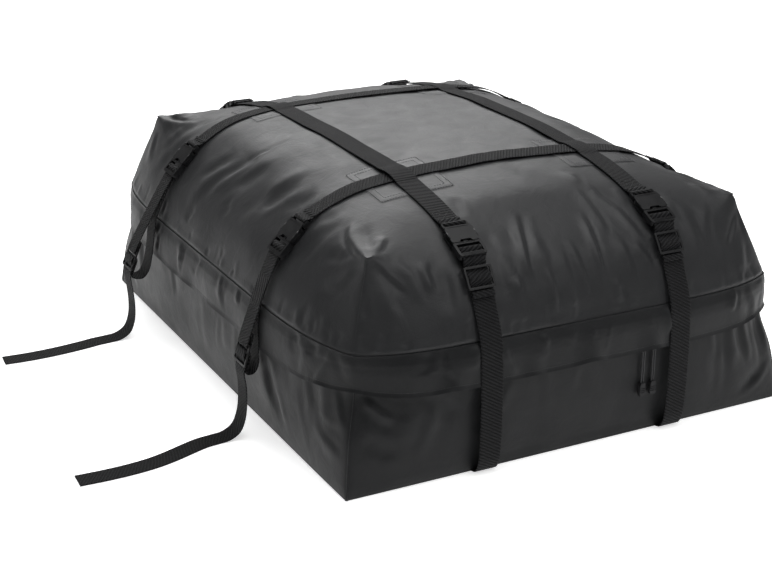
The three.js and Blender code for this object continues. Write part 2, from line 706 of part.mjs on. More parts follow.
const SLIDER = { wide: 12, tall: 16, back: 2.6, front: 6.2 };
const PULL = { wide: 7, strand: 3, top: 194, bottom: 94, front: 6 };
const TIP = { wide: 15, tall: 24, thick: 6, middle: 86.6 };
const frontFace = levelAt(ZIP_Z).my;

function roundedRectangle(width, height, radius) {
  const x = width / 2;
  const y = height / 2;
  const shape = new THREE.Shape();
  shape.absarc(x - radius, y - radius, radius, 0, Math.PI / 2);
  shape.absarc(-x + radius, y - radius, radius, Math.PI / 2, Math.PI);
  shape.absarc(-x + radius, -y + radius, radius, Math.PI, Math.PI * 1.5);
  shape.absarc(x - radius, -y + radius, radius, Math.PI * 1.5, Math.PI * 2);
  return shape;
}

// A flat piece that stands upright with its front face at frontY and its middle at height z.
function standing(shape, thick, x, frontY, z) {
  const settings = { depth: thick, bevelEnabled: false, curveSegments: 4 };
  const geometry = new THREE.ExtrudeGeometry(shape, settings);
  geometry.rotateX(Math.PI / 2);
  geometry.translate(x, frontY + thick, z);
  return geometry;
}

function sliderGeometry(x) {
  const plate = roundedRectangle(SLIDER.wide, SLIDER.tall, 3);
  return standing(plate, SLIDER.front - SLIDER.back, x, -frontFace - SLIDER.front, ZIP_Z);
}

// A doubled cord with a tip moulded over its lower end.
function pullGeometry(x) {
  const tall = PULL.top - PULL.bottom;
  const inner = PULL.wide - 2 * PULL.strand;
  const loop = roundedRectangle(PULL.wide, tall, 3.4);
  loop.holes.push(roundedRectangle(inner, tall - 2 * PULL.strand, inner * 0.45));
  const front = -frontFace - PULL.front;
  const cord = standing(loop, PULL.strand, x, front, (PULL.top + PULL.bottom) / 2);
  const tip = standing(roundedRectangle(TIP.wide, TIP.tall, 3), TIP.thick, x, front - 1, TIP.middle);
  return fromManifold(toManifold(cord).add(toManifold(tip)));
}

for (const [place, x] of [['left', 117], ['right', 138]]) {
  add(`zip_slider_${place}`, sliderGeometry(x), zipMetal);
  add(`zip_pull_${place}`, pullGeometry(x), cordMaterial);
}

export default bag;
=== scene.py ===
"""Visual model of a soft waterproof cargo bag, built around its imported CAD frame.
Metres, +Z up, the front faces -Y."""

import math

import bmesh
import bpy
import numpy as np
from mathutils import Matrix, Vector
from mathutils.bvhtree import BVHTree


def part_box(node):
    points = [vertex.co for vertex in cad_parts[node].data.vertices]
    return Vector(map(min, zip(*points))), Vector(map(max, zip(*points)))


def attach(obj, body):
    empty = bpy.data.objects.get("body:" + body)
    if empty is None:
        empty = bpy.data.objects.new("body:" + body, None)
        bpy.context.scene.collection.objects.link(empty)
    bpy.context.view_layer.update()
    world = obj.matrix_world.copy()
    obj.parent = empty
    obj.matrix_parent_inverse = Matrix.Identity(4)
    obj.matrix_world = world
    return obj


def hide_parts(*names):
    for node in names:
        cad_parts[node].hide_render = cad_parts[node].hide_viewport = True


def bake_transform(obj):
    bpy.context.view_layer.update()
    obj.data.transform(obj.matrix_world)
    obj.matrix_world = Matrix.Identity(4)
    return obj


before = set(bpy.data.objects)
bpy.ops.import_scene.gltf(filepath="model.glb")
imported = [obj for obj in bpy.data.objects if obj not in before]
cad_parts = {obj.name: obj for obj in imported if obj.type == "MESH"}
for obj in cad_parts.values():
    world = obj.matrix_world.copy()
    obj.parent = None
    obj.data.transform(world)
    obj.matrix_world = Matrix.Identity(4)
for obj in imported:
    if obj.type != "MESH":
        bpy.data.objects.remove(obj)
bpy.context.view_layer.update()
scene = bpy.context.scene
UP = np.array((0.0, 0.0, 1.0))

# ---------- dimensions shared with the CAD part ----------

WIDTH, LENGTH = 0.860, 1.100      # bottom edge
SEAM_Z, SEAM_INSET, BULGE = 0.232, 0.029, 0.013
ZIP_Z, ZIP_GAP = 0.205, 0.0015
FLAP_LOW_Z, FLAP_RISE = 0.160, 0.013
WEBBING, WEB_THICK = 0.040, 0.0018
LONG_X, CROSS_Y = 0.183, 0.253    # the places of the straps
PATCH = 0.142
FRONT_TILT, SIDE_TILT = 26.6, 45.5   # how far the buckles lean down from level, in degrees
FRONT_GLIDE_TILT, NEAR_GLIDE_TILT, FAR_GLIDE_TILT = 55.8, 73.0, 66.0

# Outline of the lid at each height: z, corner x and y, middle of side x and y, squareness.
LID_LEVELS = np.array([
    (0.232, 0.401, 0.521, 0.443, 0.563, 6.0),
    (0.268, 0.390, 0.5105, 0.429, 0.551, 5.0),
    (0.300, 0.3795, 0.500, 0.412, 0.536, 4.0),
    (0.345, 0.3635, 0.486, 0.373, 0.504, 3.0),
    (0.371, 0.355, 0.478, 0.343, 0.460, 2.0),
    (0.388, 0.318, 0.436, 0.322, 0.424, 2.0),
    (0.400, 0.276, 0.384, 0.300, 0.400, 2.0),
    (0.410, 0.235, 0.330, 0.278, 0.366, 2.0),
    (0.420, 0.175, 0.255, 0.240, 0.304, 2.0),
    (0.427, 0.105, 0.160, 0.170, 0.215, 2.0),
    (0.430, 0.0, 0.0, 0.0, 0.0, 2.0),
])
DART_TIP = Vector((0.355, 0.478, 0.371))

# ---------- camera ----------

CAMERA_PLACE = (-1.370, -2.517, 1.195)
CAMERA_AZIMUTH, CAMERA_DOWN = math.radians(27.21), math.radians(21.04)
FOCAL_LENGTH = 73.38


def add_object(name, data):
    obj = bpy.data.objects.new(name, data)
    scene.collection.objects.link(obj)
    return obj


def add_camera():
    level, a = math.cos(CAMERA_DOWN), CAMERA_AZIMUTH
    look = Vector((math.sin(a) * level, math.cos(a) * level, -math.sin(CAMERA_DOWN)))
    data = bpy.data.cameras.new("camera")
    data.sensor_width = 36
    data.lens = FOCAL_LENGTH
    data.clip_end = 60
    camera = add_object("camera", data)
    camera.location = CAMERA_PLACE
    camera.rotation_euler = look.to_track_quat("-Z", "Y").to_euler()
    scene.camera = camera


add_camera()

# ---------- materials ----------

SCRIM_SPACING = 0.0021                    # threads of the coated fabric
RIB_SPACING, YARN_SPACING = 0.0060, 0.0016    # diagonal ribs and yarns of the webbing
FLOOR_GLOW = 0.62


class Nodes:
    """Short names for building a material's node tree."""

    def __init__(self, name):
        self.material = bpy.data.materials.new(name)
        self.material.use_nodes = True
        self.tree = self.material.node_tree
        self.shader = self.tree.nodes["Principled BSDF"]

    def add(self, kind, inputs=None, **settings):
        node = self.tree.nodes.new("ShaderNode" + kind)
        for key, value in settings.items():
            setattr(node, key, value)
        for key, value in (inputs or {}).items():
            if isinstance(value, bpy.types.NodeSocket):
                self.tree.links.new(value, node.inputs[key])
            else:
                node.inputs[key].default_value = value
        return node

    def math(self, operation, a, b=0.0, c=0.0):
        return self.add("Math", {0: a, 1: b, 2: c}, operation=operation).outputs[0]

    def ramp(self, value, stops):
        node = self.add("ValToRGB", {"Fac": value})
        elements = node.color_ramp.elements
        while len(elements) < len(stops):
            elements.new(0.5)
        for element, (position, color) in zip(elements, stops):
            element.position, element.color = position, (*color, 1)
        return node.outputs["Color"]

    def noise(self, vector, scale, detail=3.0, roughness=0.5, distortion=0.0):
        inputs = {"Vector": vector, "Scale": scale, "Detail": detail, "Roughness": roughness}
        return self.add("TexNoise", {**inputs, "Distortion": distortion}).outputs["Fac"]

    def place(self):
        return self.add("TexCoord").outputs["Object"]

    def spread(self, value, low, high, start=0.3, end=0.7):
        """Maps a value from start..end to low..high."""
        inputs = {"Value": value, "From Min": start, "From Max": end, "To Min": low, "To Max": high}
        return self.add("MapRange", inputs).outputs[0]

    def bump(self, height, strength, distance, after=None):
        inputs = {"Height": height, "Strength": strength, "Distance": distance}
        if after is not None:
            inputs["Normal"] = after
        return self.add("Bump", inputs).outputs["Normal"]

    def finish(self, color, roughness, normal, **values):
        for key, value in (("Base Color", color), ("Roughness", roughness), ("Normal", normal)):
            self.tree.links.new(value, self.shader.inputs[key])
        for key, value in values.items():
            self.shader.inputs[key.replace("_", " ")].default_value = value
        return self.material


def tarpaulin(name, dark, light, rough=(0.42, 0.56), coarse=0.25, specular=0.26):
    """Coated fabric: fine scrim pressed through the coating, faint creasing, uneven gloss."""
    n = Nodes(name)
    place = n.place()
    parts = n.add("SeparateXYZ", {0: place}).outputs
    cells = 2 * math.pi / SCRIM_SPACING
    threads = None
    for axis in range(3):
        wave = n.math("SINE", n.math("MULTIPLY", parts[axis], cells))
        threads = wave if threads is None else n.math("MAXIMUM", threads, wave)
    blotch = n.noise(place, 7.0, 4.0, 0.55)
    crease = n.noise(place, 28.0, 5.0, 0.62, 0.6)
    fine = n.noise(place, 420.0, 2.0, 0.5)
    color = n.ramp(blotch, [(0.3, dark), (0.7, light)])
    gloss = n.math("ADD", n.math("MULTIPLY", blotch, 0.5), n.math("MULTIPLY", crease, 0.5))
    normal = n.bump(crease, coarse, 0.004)
    normal = n.bump(threads, 0.16, 0.0002, normal)
    normal = n.bump(fine, 0.10, 0.0002, normal)
    values = {"Specular_IOR_Level": specular, "Sheen_Weight": 0.04, "Sheen_Roughness": 0.5}
    return n.finish(color, n.spread(gloss, *rough), normal, **values)


def webbing_material(name, dark, light):
    """Woven webbing: steep diagonal twill ribs across the width, a plain selvedge, slight fuzz, and painted
    shade in the grooves of the weave.
    """
    n = Nodes(name)
    uv = n.add("UVMap", uv_map="weave").outputs["UV"]
    across, along, _ = n.add("SeparateXYZ", {0: uv}).outputs
    wobble = n.math("MULTIPLY", n.math("SUBTRACT", n.noise(uv, 260.0, 2.0), 0.5), 0.0012)
    slant = n.math("ADD", n.math("ADD", along, n.math("MULTIPLY", across, 0.62)), wobble)
    rib = n.math("SINE", n.math("MULTIPLY", slant, 2 * math.pi / RIB_SPACING))
    yarn = n.math("SINE", n.math("MULTIPLY", across, 2 * math.pi / YARN_SPACING))
    weave = n.math("ADD", n.math("MULTIPLY", rib, 0.8), n.math("MULTIPLY", yarn, 0.2))
    unit = n.math("MULTIPLY_ADD", weave, 0.5, 0.5)
    # The colour follows the rib and yarn height: darker in the grooves and lighter on the crests, which is
    # painted shade of the weave.
    color = n.ramp(unit, [(0.2, dark), (0.8, light)])
    fuzz = n.noise(uv, 900.0, 2.0, 0.6)
    roughness = n.spread(fuzz, 0.62, 0.86, 0, 1)
    normal = n.bump(unit, 1.0, 0.0016)
    normal = n.bump(fuzz, 0.25, 0.0003, normal)
    values = {"Specular_IOR_Level": 0.15, "Sheen_Weight": 0.03, "Sheen_Roughness": 0.45}
    return n.finish(color, roughness, normal, **values)


def plastic(name, dark, light, rough):
    """Moulded nylon: fine spark-eroded grain with slightly polished patches."""
    n = Nodes(name)
    place = n.place()
    grain = n.noise(place, 1600.0, 2.0, 0.6)
    patchy = n.noise(place, 60.0, 3.0, 0.5)
    color = n.ramp(patchy, [(0.35, dark), (0.7, light)])
    return n.finish(color, n.spread(patchy, *rough), n.bump(grain, 0.18, 0.0002), Specular_IOR_Level=0.22)


def thread_material(name, dark, light):
    """Twisted sewing thread."""
    n = Nodes(name)
    place = n.place()
    twist = n.noise(place, 1500.0, 1.0)
    color = n.ramp(twist, [(0.3, dark), (0.7, light)])
    roughness = n.math("MULTIPLY_ADD", twist, 0.2, 0.5)
    return n.finish(color, roughness, n.bump(twist, 0.4, 0.0003), Specular_IOR_Level=0.4)


def metal(name):
    """Black electro-coated zip slider."""
    n = Nodes(name)
    place = n.place()
    wear = n.noise(place, 300.0, 3.0, 0.6)
    color = n.ramp(wear, [(0.4, (0.012, 0.012, 0.013)), (0.75, (0.05, 0.05, 0.052))])
    roughness = n.math("MULTIPLY_ADD", wear, 0.25, 0.22)
    return n.finish(color, roughness, n.bump(wear, 0.1, 0.0003), Metallic=0.5)


def ground_material():
    n = Nodes("floor")
    place = n.place()
    soft = n.noise(place, 1.5, 2.0)
    color = n.ramp(soft, [(0.2, (0.90, 0.90, 0.90)), (0.8, (0.93, 0.93, 0.93))])
    n.shader.inputs["Emission Color"].default_value = (1, 1, 1, 1)
    n.shader.inputs["Emission Strength"].default_value = FLOOR_GLOW
    roughness = n.math("MULTIPLY_ADD", soft, 0.1, 0.8)
    return n.finish(color, roughness, n.bump(soft, 0.02, 0.001), Specular_IOR_Level=0.1)


FABRIC = tarpaulin("coated_fabric", (0.0108, 0.0111, 0.0120), (0.0150, 0.0153, 0.0163))
# The walls, storm flap and corner welts use a darker, less glossy copy of the same coated fabric: its darker
# colour is painted shade.
SHADED_WALL_FABRIC = tarpaulin("coated_fabric_walls_painted_shade", (0.0075, 0.0078, 0.0084), (0.0106, 0.0109, 0.0116),
                        specular=0.155)
PATCHING = tarpaulin("patch_fabric", (0.0135, 0.0138, 0.0148), (0.018, 0.0183, 0.0193), (0.40, 0.52), 0.15)
WEB = webbing_material("webbing", (0.0012, 0.0012, 0.0014), (0.0100, 0.0100, 0.0110))
TAPE = webbing_material("zip_tape_weave", (0.005, 0.005, 0.0055), (0.016, 0.016, 0.017))
NYLON = plastic("buckle_plastic", (0.0036, 0.0036, 0.0041), (0.0070, 0.0070, 0.0076), (0.38, 0.52))
RUBBER = plastic("pull_rubber", (0.008, 0.008, 0.009), (0.014, 0.014, 0.015), (0.5, 0.65))
THREAD = thread_material("thread", (0.012, 0.012, 0.013), (0.035, 0.035, 0.037))
PALE_THREAD = thread_material("pale_thread", (0.05, 0.05, 0.053), (0.12, 0.12, 0.125))
METAL = metal("slider_metal")
CORD = thread_material("braided_cord", (0.008, 0.008, 0.009), (0.022, 0.022, 0.024))

# ---------- shape of the shell ----------

FABRIC_THICK = 0.0016


def travel(line):
    """Distance along a line of points, from its first point."""
    return np.concatenate([[0], np.cumsum(np.linalg.norm(np.diff(line, axis=0), axis=1))])


def at_length(line, length, where):
    """Points of a line at distances along it."""
    return np.stack([np.interp(where, length, line[:, i]) for i in range(3)], -1)


def unit(vectors):
    return vectors / np.maximum(np.linalg.norm(vectors, axis=-1, keepdims=True), 1e-12)


def rising(values, start, width):
    """0 up to start, 1 from start + width on."""
    return np.clip((values - start) / width, 0, 1)


def bell(values, width):
    return np.exp(-(values / width) ** 2)


def smoothstep(share):
    return share * share * (3 - 2 * share)


def hermite(x, xs, ys):
    """Smooth interpolation through rows of ys that doesn't overshoot."""
    h = np.diff(xs)
    slope = np.diff(ys, axis=0) / h[:, None]
    tangent = np.zeros_like(ys)
    tangent[0], tangent[-1] = slope[0], slope[-1]
    same = slope[:-1] * slope[1:] > 0
    harmonic = 2 * slope[:-1] * slope[1:] / np.where(same, slope[:-1] + slope[1:], 1)
    tangent[1:-1] = np.where(same, harmonic, 0)
    k = np.clip(np.searchsorted(xs, x, side="right") - 1, 0, len(xs) - 2)
    t = ((x - xs[k]) / h[k])[:, None]
    t2, t3 = t * t, t * t * t
    return (
        (2 * t3 - 3 * t2 + 1) * ys[k] + (t3 - 2 * t2 + t) * h[k][:, None] * tangent[k]
        + (3 * t2 - 2 * t3) * ys[k + 1] + (t3 - t2) * h[k][:, None] * tangent[k + 1]
    )


PROFILE = travel(LID_LEVELS[:, [4, 0]])


def lid_level(along):
    """Level of the lid's outline a distance up the slope, measured at the middle of the front."""
    return list(hermite(np.asarray(along, float).ravel(), PROFILE, LID_LEVELS).T)


CORNER_PINCH = 0.010     # how far the corners draw in half way up, where nothing holds them out


def tub_level(z):
    z = np.asarray(z, float).ravel()
    draw = SEAM_INSET * z / SEAM_Z
    swell = BULGE * (1 - np.maximum(0, 1 - z / 0.110) ** 2)
    pinch = CORNER_PINCH * bell(z - 0.162, 0.048) * np.clip((SEAM_Z - z) / 0.02, 0, 1)
    half = np.array((WIDTH, LENGTH))[:, None] / 2
    return [z, *(half - draw - pinch), *(half + swell), np.full_like(z, 6.0)]


def outline(level, side, t, grow=0.0):
    """Points on the outline: side 0 front, 1 right, 2 rear, 3 left; t from -1 to 1 anticlockwise."""
    z, cx, cy, mx, my, p = level
    side, t = np.broadcast_arrays(np.asarray(side), np.asarray(t, float))
    belly = 1 - np.abs(t) ** p
    x = cx + (mx - cx) * belly + grow
    y = cy + (my - cy) * belly + grow
    across = [t * (cx + grow), x, -t * (cx + grow), -x]
    depth = [-y, t * (cy + grow), y, -t * (cy + grow)]
    return np.stack([np.choose(side, across), np.choose(side, depth), z + 0 * t], axis=-1)


def mesh_object(name, vertices, faces, material, smooth=True, uv=None):
    mesh = bpy.data.meshes.new(name)
    mesh.from_pydata([tuple(v) for v in vertices], [], [tuple(f) for f in faces])
    mesh.materials.append(material)
    mesh.validate()
    mesh.polygons.foreach_set("use_smooth", [smooth] * len(mesh.polygons))
    if uv is not None:
        layer = mesh.uv_layers.new(name="weave")
        corners = np.zeros(len(mesh.loops), np.int32)
        mesh.loops.foreach_get("vertex_index", corners)
        layer.data.foreach_set("uv", np.asarray(uv, np.float32)[corners].ravel())
    return add_object(name, mesh)


def grid_faces(rows, columns, wrap=False):
    faces = []
    for low in range(0, (rows - 1) * columns, columns):
        for i in range(columns if wrap else columns - 1):
            k = (i + 1) % columns
            faces.append((low + i, low + k, low + columns + k, low + columns + i))
    return faces


def sheet_object(name, points, material, thickness, offset=-1.0, uv=None):
    """A grid of points as a sheet with a thickness. Offset -1 keeps the outer face where it is."""
    piece = mesh_object(name, points.reshape(-1, 3), grid_faces(*points.shape[:2]), material, uv=uv)
    modifier = piece.modifiers.new("thickness", "SOLIDIFY")
    modifier.thickness = thickness
    modifier.offset = offset
    apply_modifiers(piece)
    piece.data.set_sharp_from_angle(angle=math.radians(50))
    return piece


def grid_normals(points):
    """Unit normals of a grid of points, rows by columns."""
    return unit(np.cross(np.gradient(points, axis=1), np.gradient(points, axis=0)))


def apply_modifiers(obj):
    depsgraph = bpy.context.evaluated_depsgraph_get()
    mesh = bpy.data.meshes.new_from_object(obj.evaluated_get(depsgraph))
    obj.modifiers.clear()
    old, obj.data = obj.data, mesh
    bpy.data.meshes.remove(old)


def edit_mesh(obj, change):
    """Runs a change on a piece's mesh in edit form."""
    bm = bmesh.new()
    bm.from_mesh(obj.data)
    change(bm)
    bm.to_mesh(obj.data)
    bm.free()


def swept(name, rings, material, closed=False, uv=None):
    """A closed skin over a row of rings, with caps at both ends unless the row closes on itself."""
    count, sides = rings.shape[:2]
    faces = grid_faces(count, sides, wrap=True)
    last = (count - 1) * sides
    if closed:
        faces += [(last + i, last + (i + 1) % sides, (i + 1) % sides, i) for i in range(sides)]
    else:
        faces += [tuple(range(sides))[::-1], tuple(range(last, last + sides))]
    piece = mesh_object(name, rings.reshape(-1, 3), faces, material, uv=uv)
    edit_mesh(piece, lambda bm: bmesh.ops.recalc_face_normals(bm, faces=bm.faces))
    return piece


def smooth_noise(points, size, seed):
    """Soft noise from a sum of seeded waves, about -1 to 1."""
    source = np.random.default_rng(seed)
    total = np.zeros(points.shape[:-1])
    for _ in range(9):
        direction = source.normal(size=3)
        direction /= np.linalg.norm(direction)
        frequency = 2 * math.pi / (size * source.uniform(0.7, 1.5))
        total += np.sin(points @ direction * frequency + source.uniform(0, 6.28))
    return total / 3.6


def crease(points, normals, line, width, height, lean, ends=0.35):
    """Height of one fold along a line of points on a sheet: a rounded ridge (a furrow where height is
    below 0) that is steeper on one flank, with a shallow hollow beside that flank, faded at both ends."""
    line = np.asarray(line, float)
    result = np.zeros(points.shape[:-1])
    reach = 3.2 * width
    near = np.all((points > line.min(axis=0) - reach) & (points < line.max(axis=0) + reach), axis=-1)
    place, normal = points[near], normals[near]
    marks = travel(line)
    best, where, sign = np.full(len(place), np.inf), np.zeros(len(place)), np.zeros(len(place))
    for k in range(len(line) - 1):
        run = line[k + 1] - line[k]
        share = np.clip((place - line[k]) @ run / (run @ run), 0, 1)
        off = place - line[k] - share[:, None] * run
        distance = np.linalg.norm(off, axis=1)
        closer = distance < best
        best = np.where(closer, distance, best)
        where = np.where(closer, marks[k] + share * (marks[k + 1] - marks[k]), where)
        sign = np.where(closer, np.sign((np.cross(run, off) * normal).sum(axis=1)), sign)
    offset = best * sign / width
    share = where / marks[-1]
    fade = np.clip(np.minimum(share, 1 - share) / ends, 0, 1)
    flank = np.where(offset > 0, 1 - lean, 1 + lean)
    shape = bell(offset, flank) - 0.8 * lean * bell(offset - 1.35, 0.55)
    result[near] = height * shape * smoothstep(fade)
    return result


def ride(piece, body, slot, *nodes):
    """Places a finished piece on its body, and hides the CAD parts that it stands for."""
    if body:
        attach(piece, body)
    if nodes:
        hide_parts(*nodes)
    return piece


# ---------- thread ----------


STITCH, STITCH_GAP = 0.0034, 0.0016
STITCH_SHAPE = np.array([(-1, -.5, 0), (-1, .5, 0), (1, .5, 0), (1, -.5, 0),
                         (-.55, -.35, 1), (-.55, .35, 1), (.55, .35, 1), (.55, -.35, 1)])
STITCH_FACES = [(0, 4, 5, 1), (1, 5, 6, 2), (2, 6, 7, 3), (3, 7, 4, 0), (4, 7, 6, 5), (0, 1, 2, 3)]


def stitches(name, paths, normals, body, slot, material=None, thick=0.0007):
    """Rows of raised stitches along paths of points, each with its outward normals."""
    vertices, faces = [], []
    for path, normal in zip(paths, normals):
        path, normal = np.asarray(path, float), np.asarray(normal, float)
        length = travel(path)
        count = max(1, int(length[-1] / (STITCH + STITCH_GAP)))
        for k in range(count):
            middle = (k + 0.5) * length[-1] / count
            start, end = at_length(path, length, [middle - STITCH / 2, middle + STITCH / 2])
            up = unit(at_length(normal, length, middle))
            run = (end - start) / 2
            wide = unit(np.cross(up, run))
            offset = len(vertices)
            for a, b, c in STITCH_SHAPE:
                shift = a * run + b * thick * 1.3 * wide + (c * thick - 0.0002) * up
                vertices.append((start + end) / 2 + shift)
            faces.extend([tuple(offset + i for i in quad) for quad in STITCH_FACES])
    return ride(mesh_object(name, vertices, faces, material or THREAD), body, slot)


# ---------- tub: four walls, bottom, corner welts ----------

SIDES = ("front", "right", "rear", "left")
WALL_TOP = ZIP_Z - ZIP_GAP


# Folds beside the front left corner: (line of share of the half wall and height), width, height in mm.
END_FOLDS = [
    ([(0.975, 0.166), (0.925, 0.142), (0.84, 0.119)], 8, 3.8),
    ([(0.965, 0.150), (0.90, 0.124), (0.83, 0.102)], 9, -2.2),
    ([(0.77, 0.154), (0.70, 0.122), (0.64, 0.092)], 13, 2.4),
    ([(0.72, 0.160), (0.62, 0.132), (0.56, 0.104)], 13, -2.2),
    ([(0.97, 0.105), (0.89, 0.082), (0.80, 0.066)], 15, -2.2),
    ([(0.97, 0.082), (0.88, 0.058), (0.76, 0.048)], 14, 1.6),
]
SIDE_FOLDS = [
    ([(0.52, 0.160), (0.56, 0.090), (0.63, 0.020)], 17, -3.6),
    ([(0.46, 0.165), (0.49, 0.100), (0.54, 0.040)], 20, 2.2),
    ([(0.82, 0.092), (0.90, 0.072), (0.985, 0.062)], 11, 2.4),
    ([(0.84, 0.112), (0.91, 0.100), (0.985, 0.104)], 11, -1.8),
    ([(0.93, 0.175), (0.955, 0.130), (0.985, 0.105)], 9, 2.0),
]


def wall_wrinkles(side, points, normals):
    """Folds of one wall: those of the photo beside one corner, soft upright ones beside the other,
    and a few slack ones between."""
    total = 0.0020 * smooth_noise(points, 0.34, 11 + side) + 0.0008 * smooth_noise(points, 0.12, 31 + side)
    source = np.random.default_rng(50 + side)
    draw = source.uniform

    def add(t, z, width, height, lean):
        nonlocal total
        line = outline(tub_level(z), side, np.clip(t, -0.985, 0.985))
        total = total + crease(points, normals, line, width, height, lean)

    near = -1 if side in (0, 2) else 1          # the corner at the front left, and its opposite
    for line, width, height in END_FOLDS if near < 0 else SIDE_FOLDS:
        t, z = np.transpose(line)
        add(near * t, z, width / 1000, height / 1000, 0.3)
    for k in range(3):
        t0 = near * (0.93 - 0.11 * k + draw(-0.03, 0.03))
        t1 = t0 - near * draw(-0.01, 0.05)
        height = source.choice([-1, 1]) * draw(0.0008, 0.0018)
        add((t0, (t0 + t1) / 2, t1), (draw(0.06, 0.12), 0.15, 0.19), draw(0.010, 0.016), height, 0.3)
    for k in range(6):
        t0 = -near * (0.965 - 0.052 * k + draw(-0.014, 0.014))
        t1 = t0 + near * draw(-0.012, 0.03)
        low = draw(0.045, 0.11)
        height = (-1) ** k * draw(0.0016, 0.0036)
        add((t0, (t0 + t1) / 2, t1), (low, (low + 0.19) / 2, 0.19), draw(0.008, 0.012), height, 0.4)
    for k in range(2):
        t0 = -near * (0.965 - 0.03 * k)
        t1 = -near * (0.83 - 0.07 * k + draw(-0.02, 0.02))
        low, high = 0.085 - 0.022 * k, 0.036 - 0.006 * k
        height = source.choice([-1, 1]) * 0.0022
        add((t0, (t0 + t1) / 2, t1), (low, (low + high) / 2 - 0.004, high), 0.010, height, 0.4)
    for _ in range(11):
        t0 = draw(-0.82, 0.82)
        low, high = draw(0.02, 0.11), draw(0.13, 0.19)
        height = source.choice([-1, 1]) * draw(0.0008, 0.0022)
        add((t0, t0 + draw(-0.07, 0.07)), (low, high), draw(0.010, 0.02), height, 0.3)
    return total


def wall(side):
    """One wall of the tub, and the line of its corner welt."""
    columns, rows = 260, 64
    t = np.linspace(-1, 1, columns)
    t = t * (1 + 0.12 * (1 - t ** 2))       # more columns near the corners
    z = 0.0008 + (WALL_TOP - 0.0008) * np.linspace(0, 1, rows)
    points = np.stack([outline(tub_level(np.full(columns, level)), side, t) for level in z])
    normals = grid_normals(points)
    height = wall_wrinkles(side, points, normals)
    inset = np.minimum(1, (1 - np.abs(t)) / 0.025) ** 0.7
    rim = np.clip((WALL_TOP - z) / 0.02, 0, 1) * np.clip(z / 0.02, 0, 1)
    tuck = 0.0016 * np.exp(-z / 0.004)
    welt = 0.0014 * np.exp(-((1 - np.abs(t)) / 0.005))
    height = height * inset[None] * rim[:, None] - tuck[:, None] - welt[None]
    points = points + normals * height[..., None]
    piece = sheet_object(f"wall_{SIDES[side]}", points, SHADED_WALL_FABRIC, FABRIC_THICK)
    ride(piece, "tub", "tarpaulin", f"{SIDES[side]}_wall")
    return points[1:, -1]


corner_lines = [wall(side) for side in range(4)]


def tube(name, points, radius, material, body, slot, closed=False, sides=8, nodes=()):
    """A round cord or seam welt along a line of points."""
    points = np.asarray(points, float)
    tangent = np.gradient(points, axis=0)
    if closed:
        tangent = np.roll(points, -1, 0) - np.roll(points, 1, 0)
    tangent = unit(tangent)
    guide = UP if abs(tangent[:, 2]).max() <= 0.9 else np.array([0.31, 0.95, 0.05])
    first = unit(np.cross(tangent, guide))
    second = np.cross(tangent, first)
    angles = 2 * math.pi * np.arange(sides) / sides
    rings = [points + radius * (math.cos(a) * first + math.sin(a) * second) for a in angles]
    piece = swept(name, np.stack(rings, axis=1), material, closed)
    return ride(piece, body, slot, *nodes)


for side, corner_line in zip(SIDES, corner_lines):
    tube(f"corner_welt_{side}", corner_line, 0.0013, SHADED_WALL_FABRIC, "tub", "tarpaulin")


def bottom():
    """Padded bottom panel, turned up a little at its edges, with a bound edge all round."""
    columns, rows = 60, 76
    xs = np.linspace(-1, 1, columns)
    ys = np.linspace(-1, 1, rows)
    x, y = np.meshgrid(xs * (WIDTH / 2 - 0.0035), ys * (LENGTH / 2 - 0.0035))
    near_belt = np.minimum(np.abs(x - LONG_X), np.abs(x + LONG_X))
    lift = 0.0022 * np.clip((0.026 - near_belt) / 0.005, 0, 1)
    edge = np.minimum(1 - np.abs(xs)[None], 1 - np.abs(ys)[:, None])
    noise = smooth_noise(np.stack([x, y, 0 * x], -1), 0.2, 5)
    lift = lift + 0.0012 * np.exp(-edge / 0.02) + 0.0003 * (1 + noise)
    piece = sheet_object("bottom", np.stack([x, y, lift], axis=-1), FABRIC, 0.004, 1.0)
    ride(piece, "tub", "tarpaulin", "bottom_panel")
    t = np.linspace(-1, 1, 80)[:-1]
    ring = [outline(tub_level(np.full(len(t), 0.0024)), side, t, -0.0024) for side in range(4)]
    tube("bottom_piping", np.concatenate(ring), 0.0022, FABRIC, "tub", "tarpaulin", closed=True)


bottom()

# ---------- lid: one sheet with a dart at each corner ----------

LID_HALF, LID_EDGE = 126, 34              # cells from the crown to the strip along the seam, and across it
LID_STRIP = 0.91                          # where that strip starts, as a share of the way to the seam
LID_DOWN = SEAM_Z - (ZIP_Z + ZIP_GAP)     # the skirt between the seam and the zip

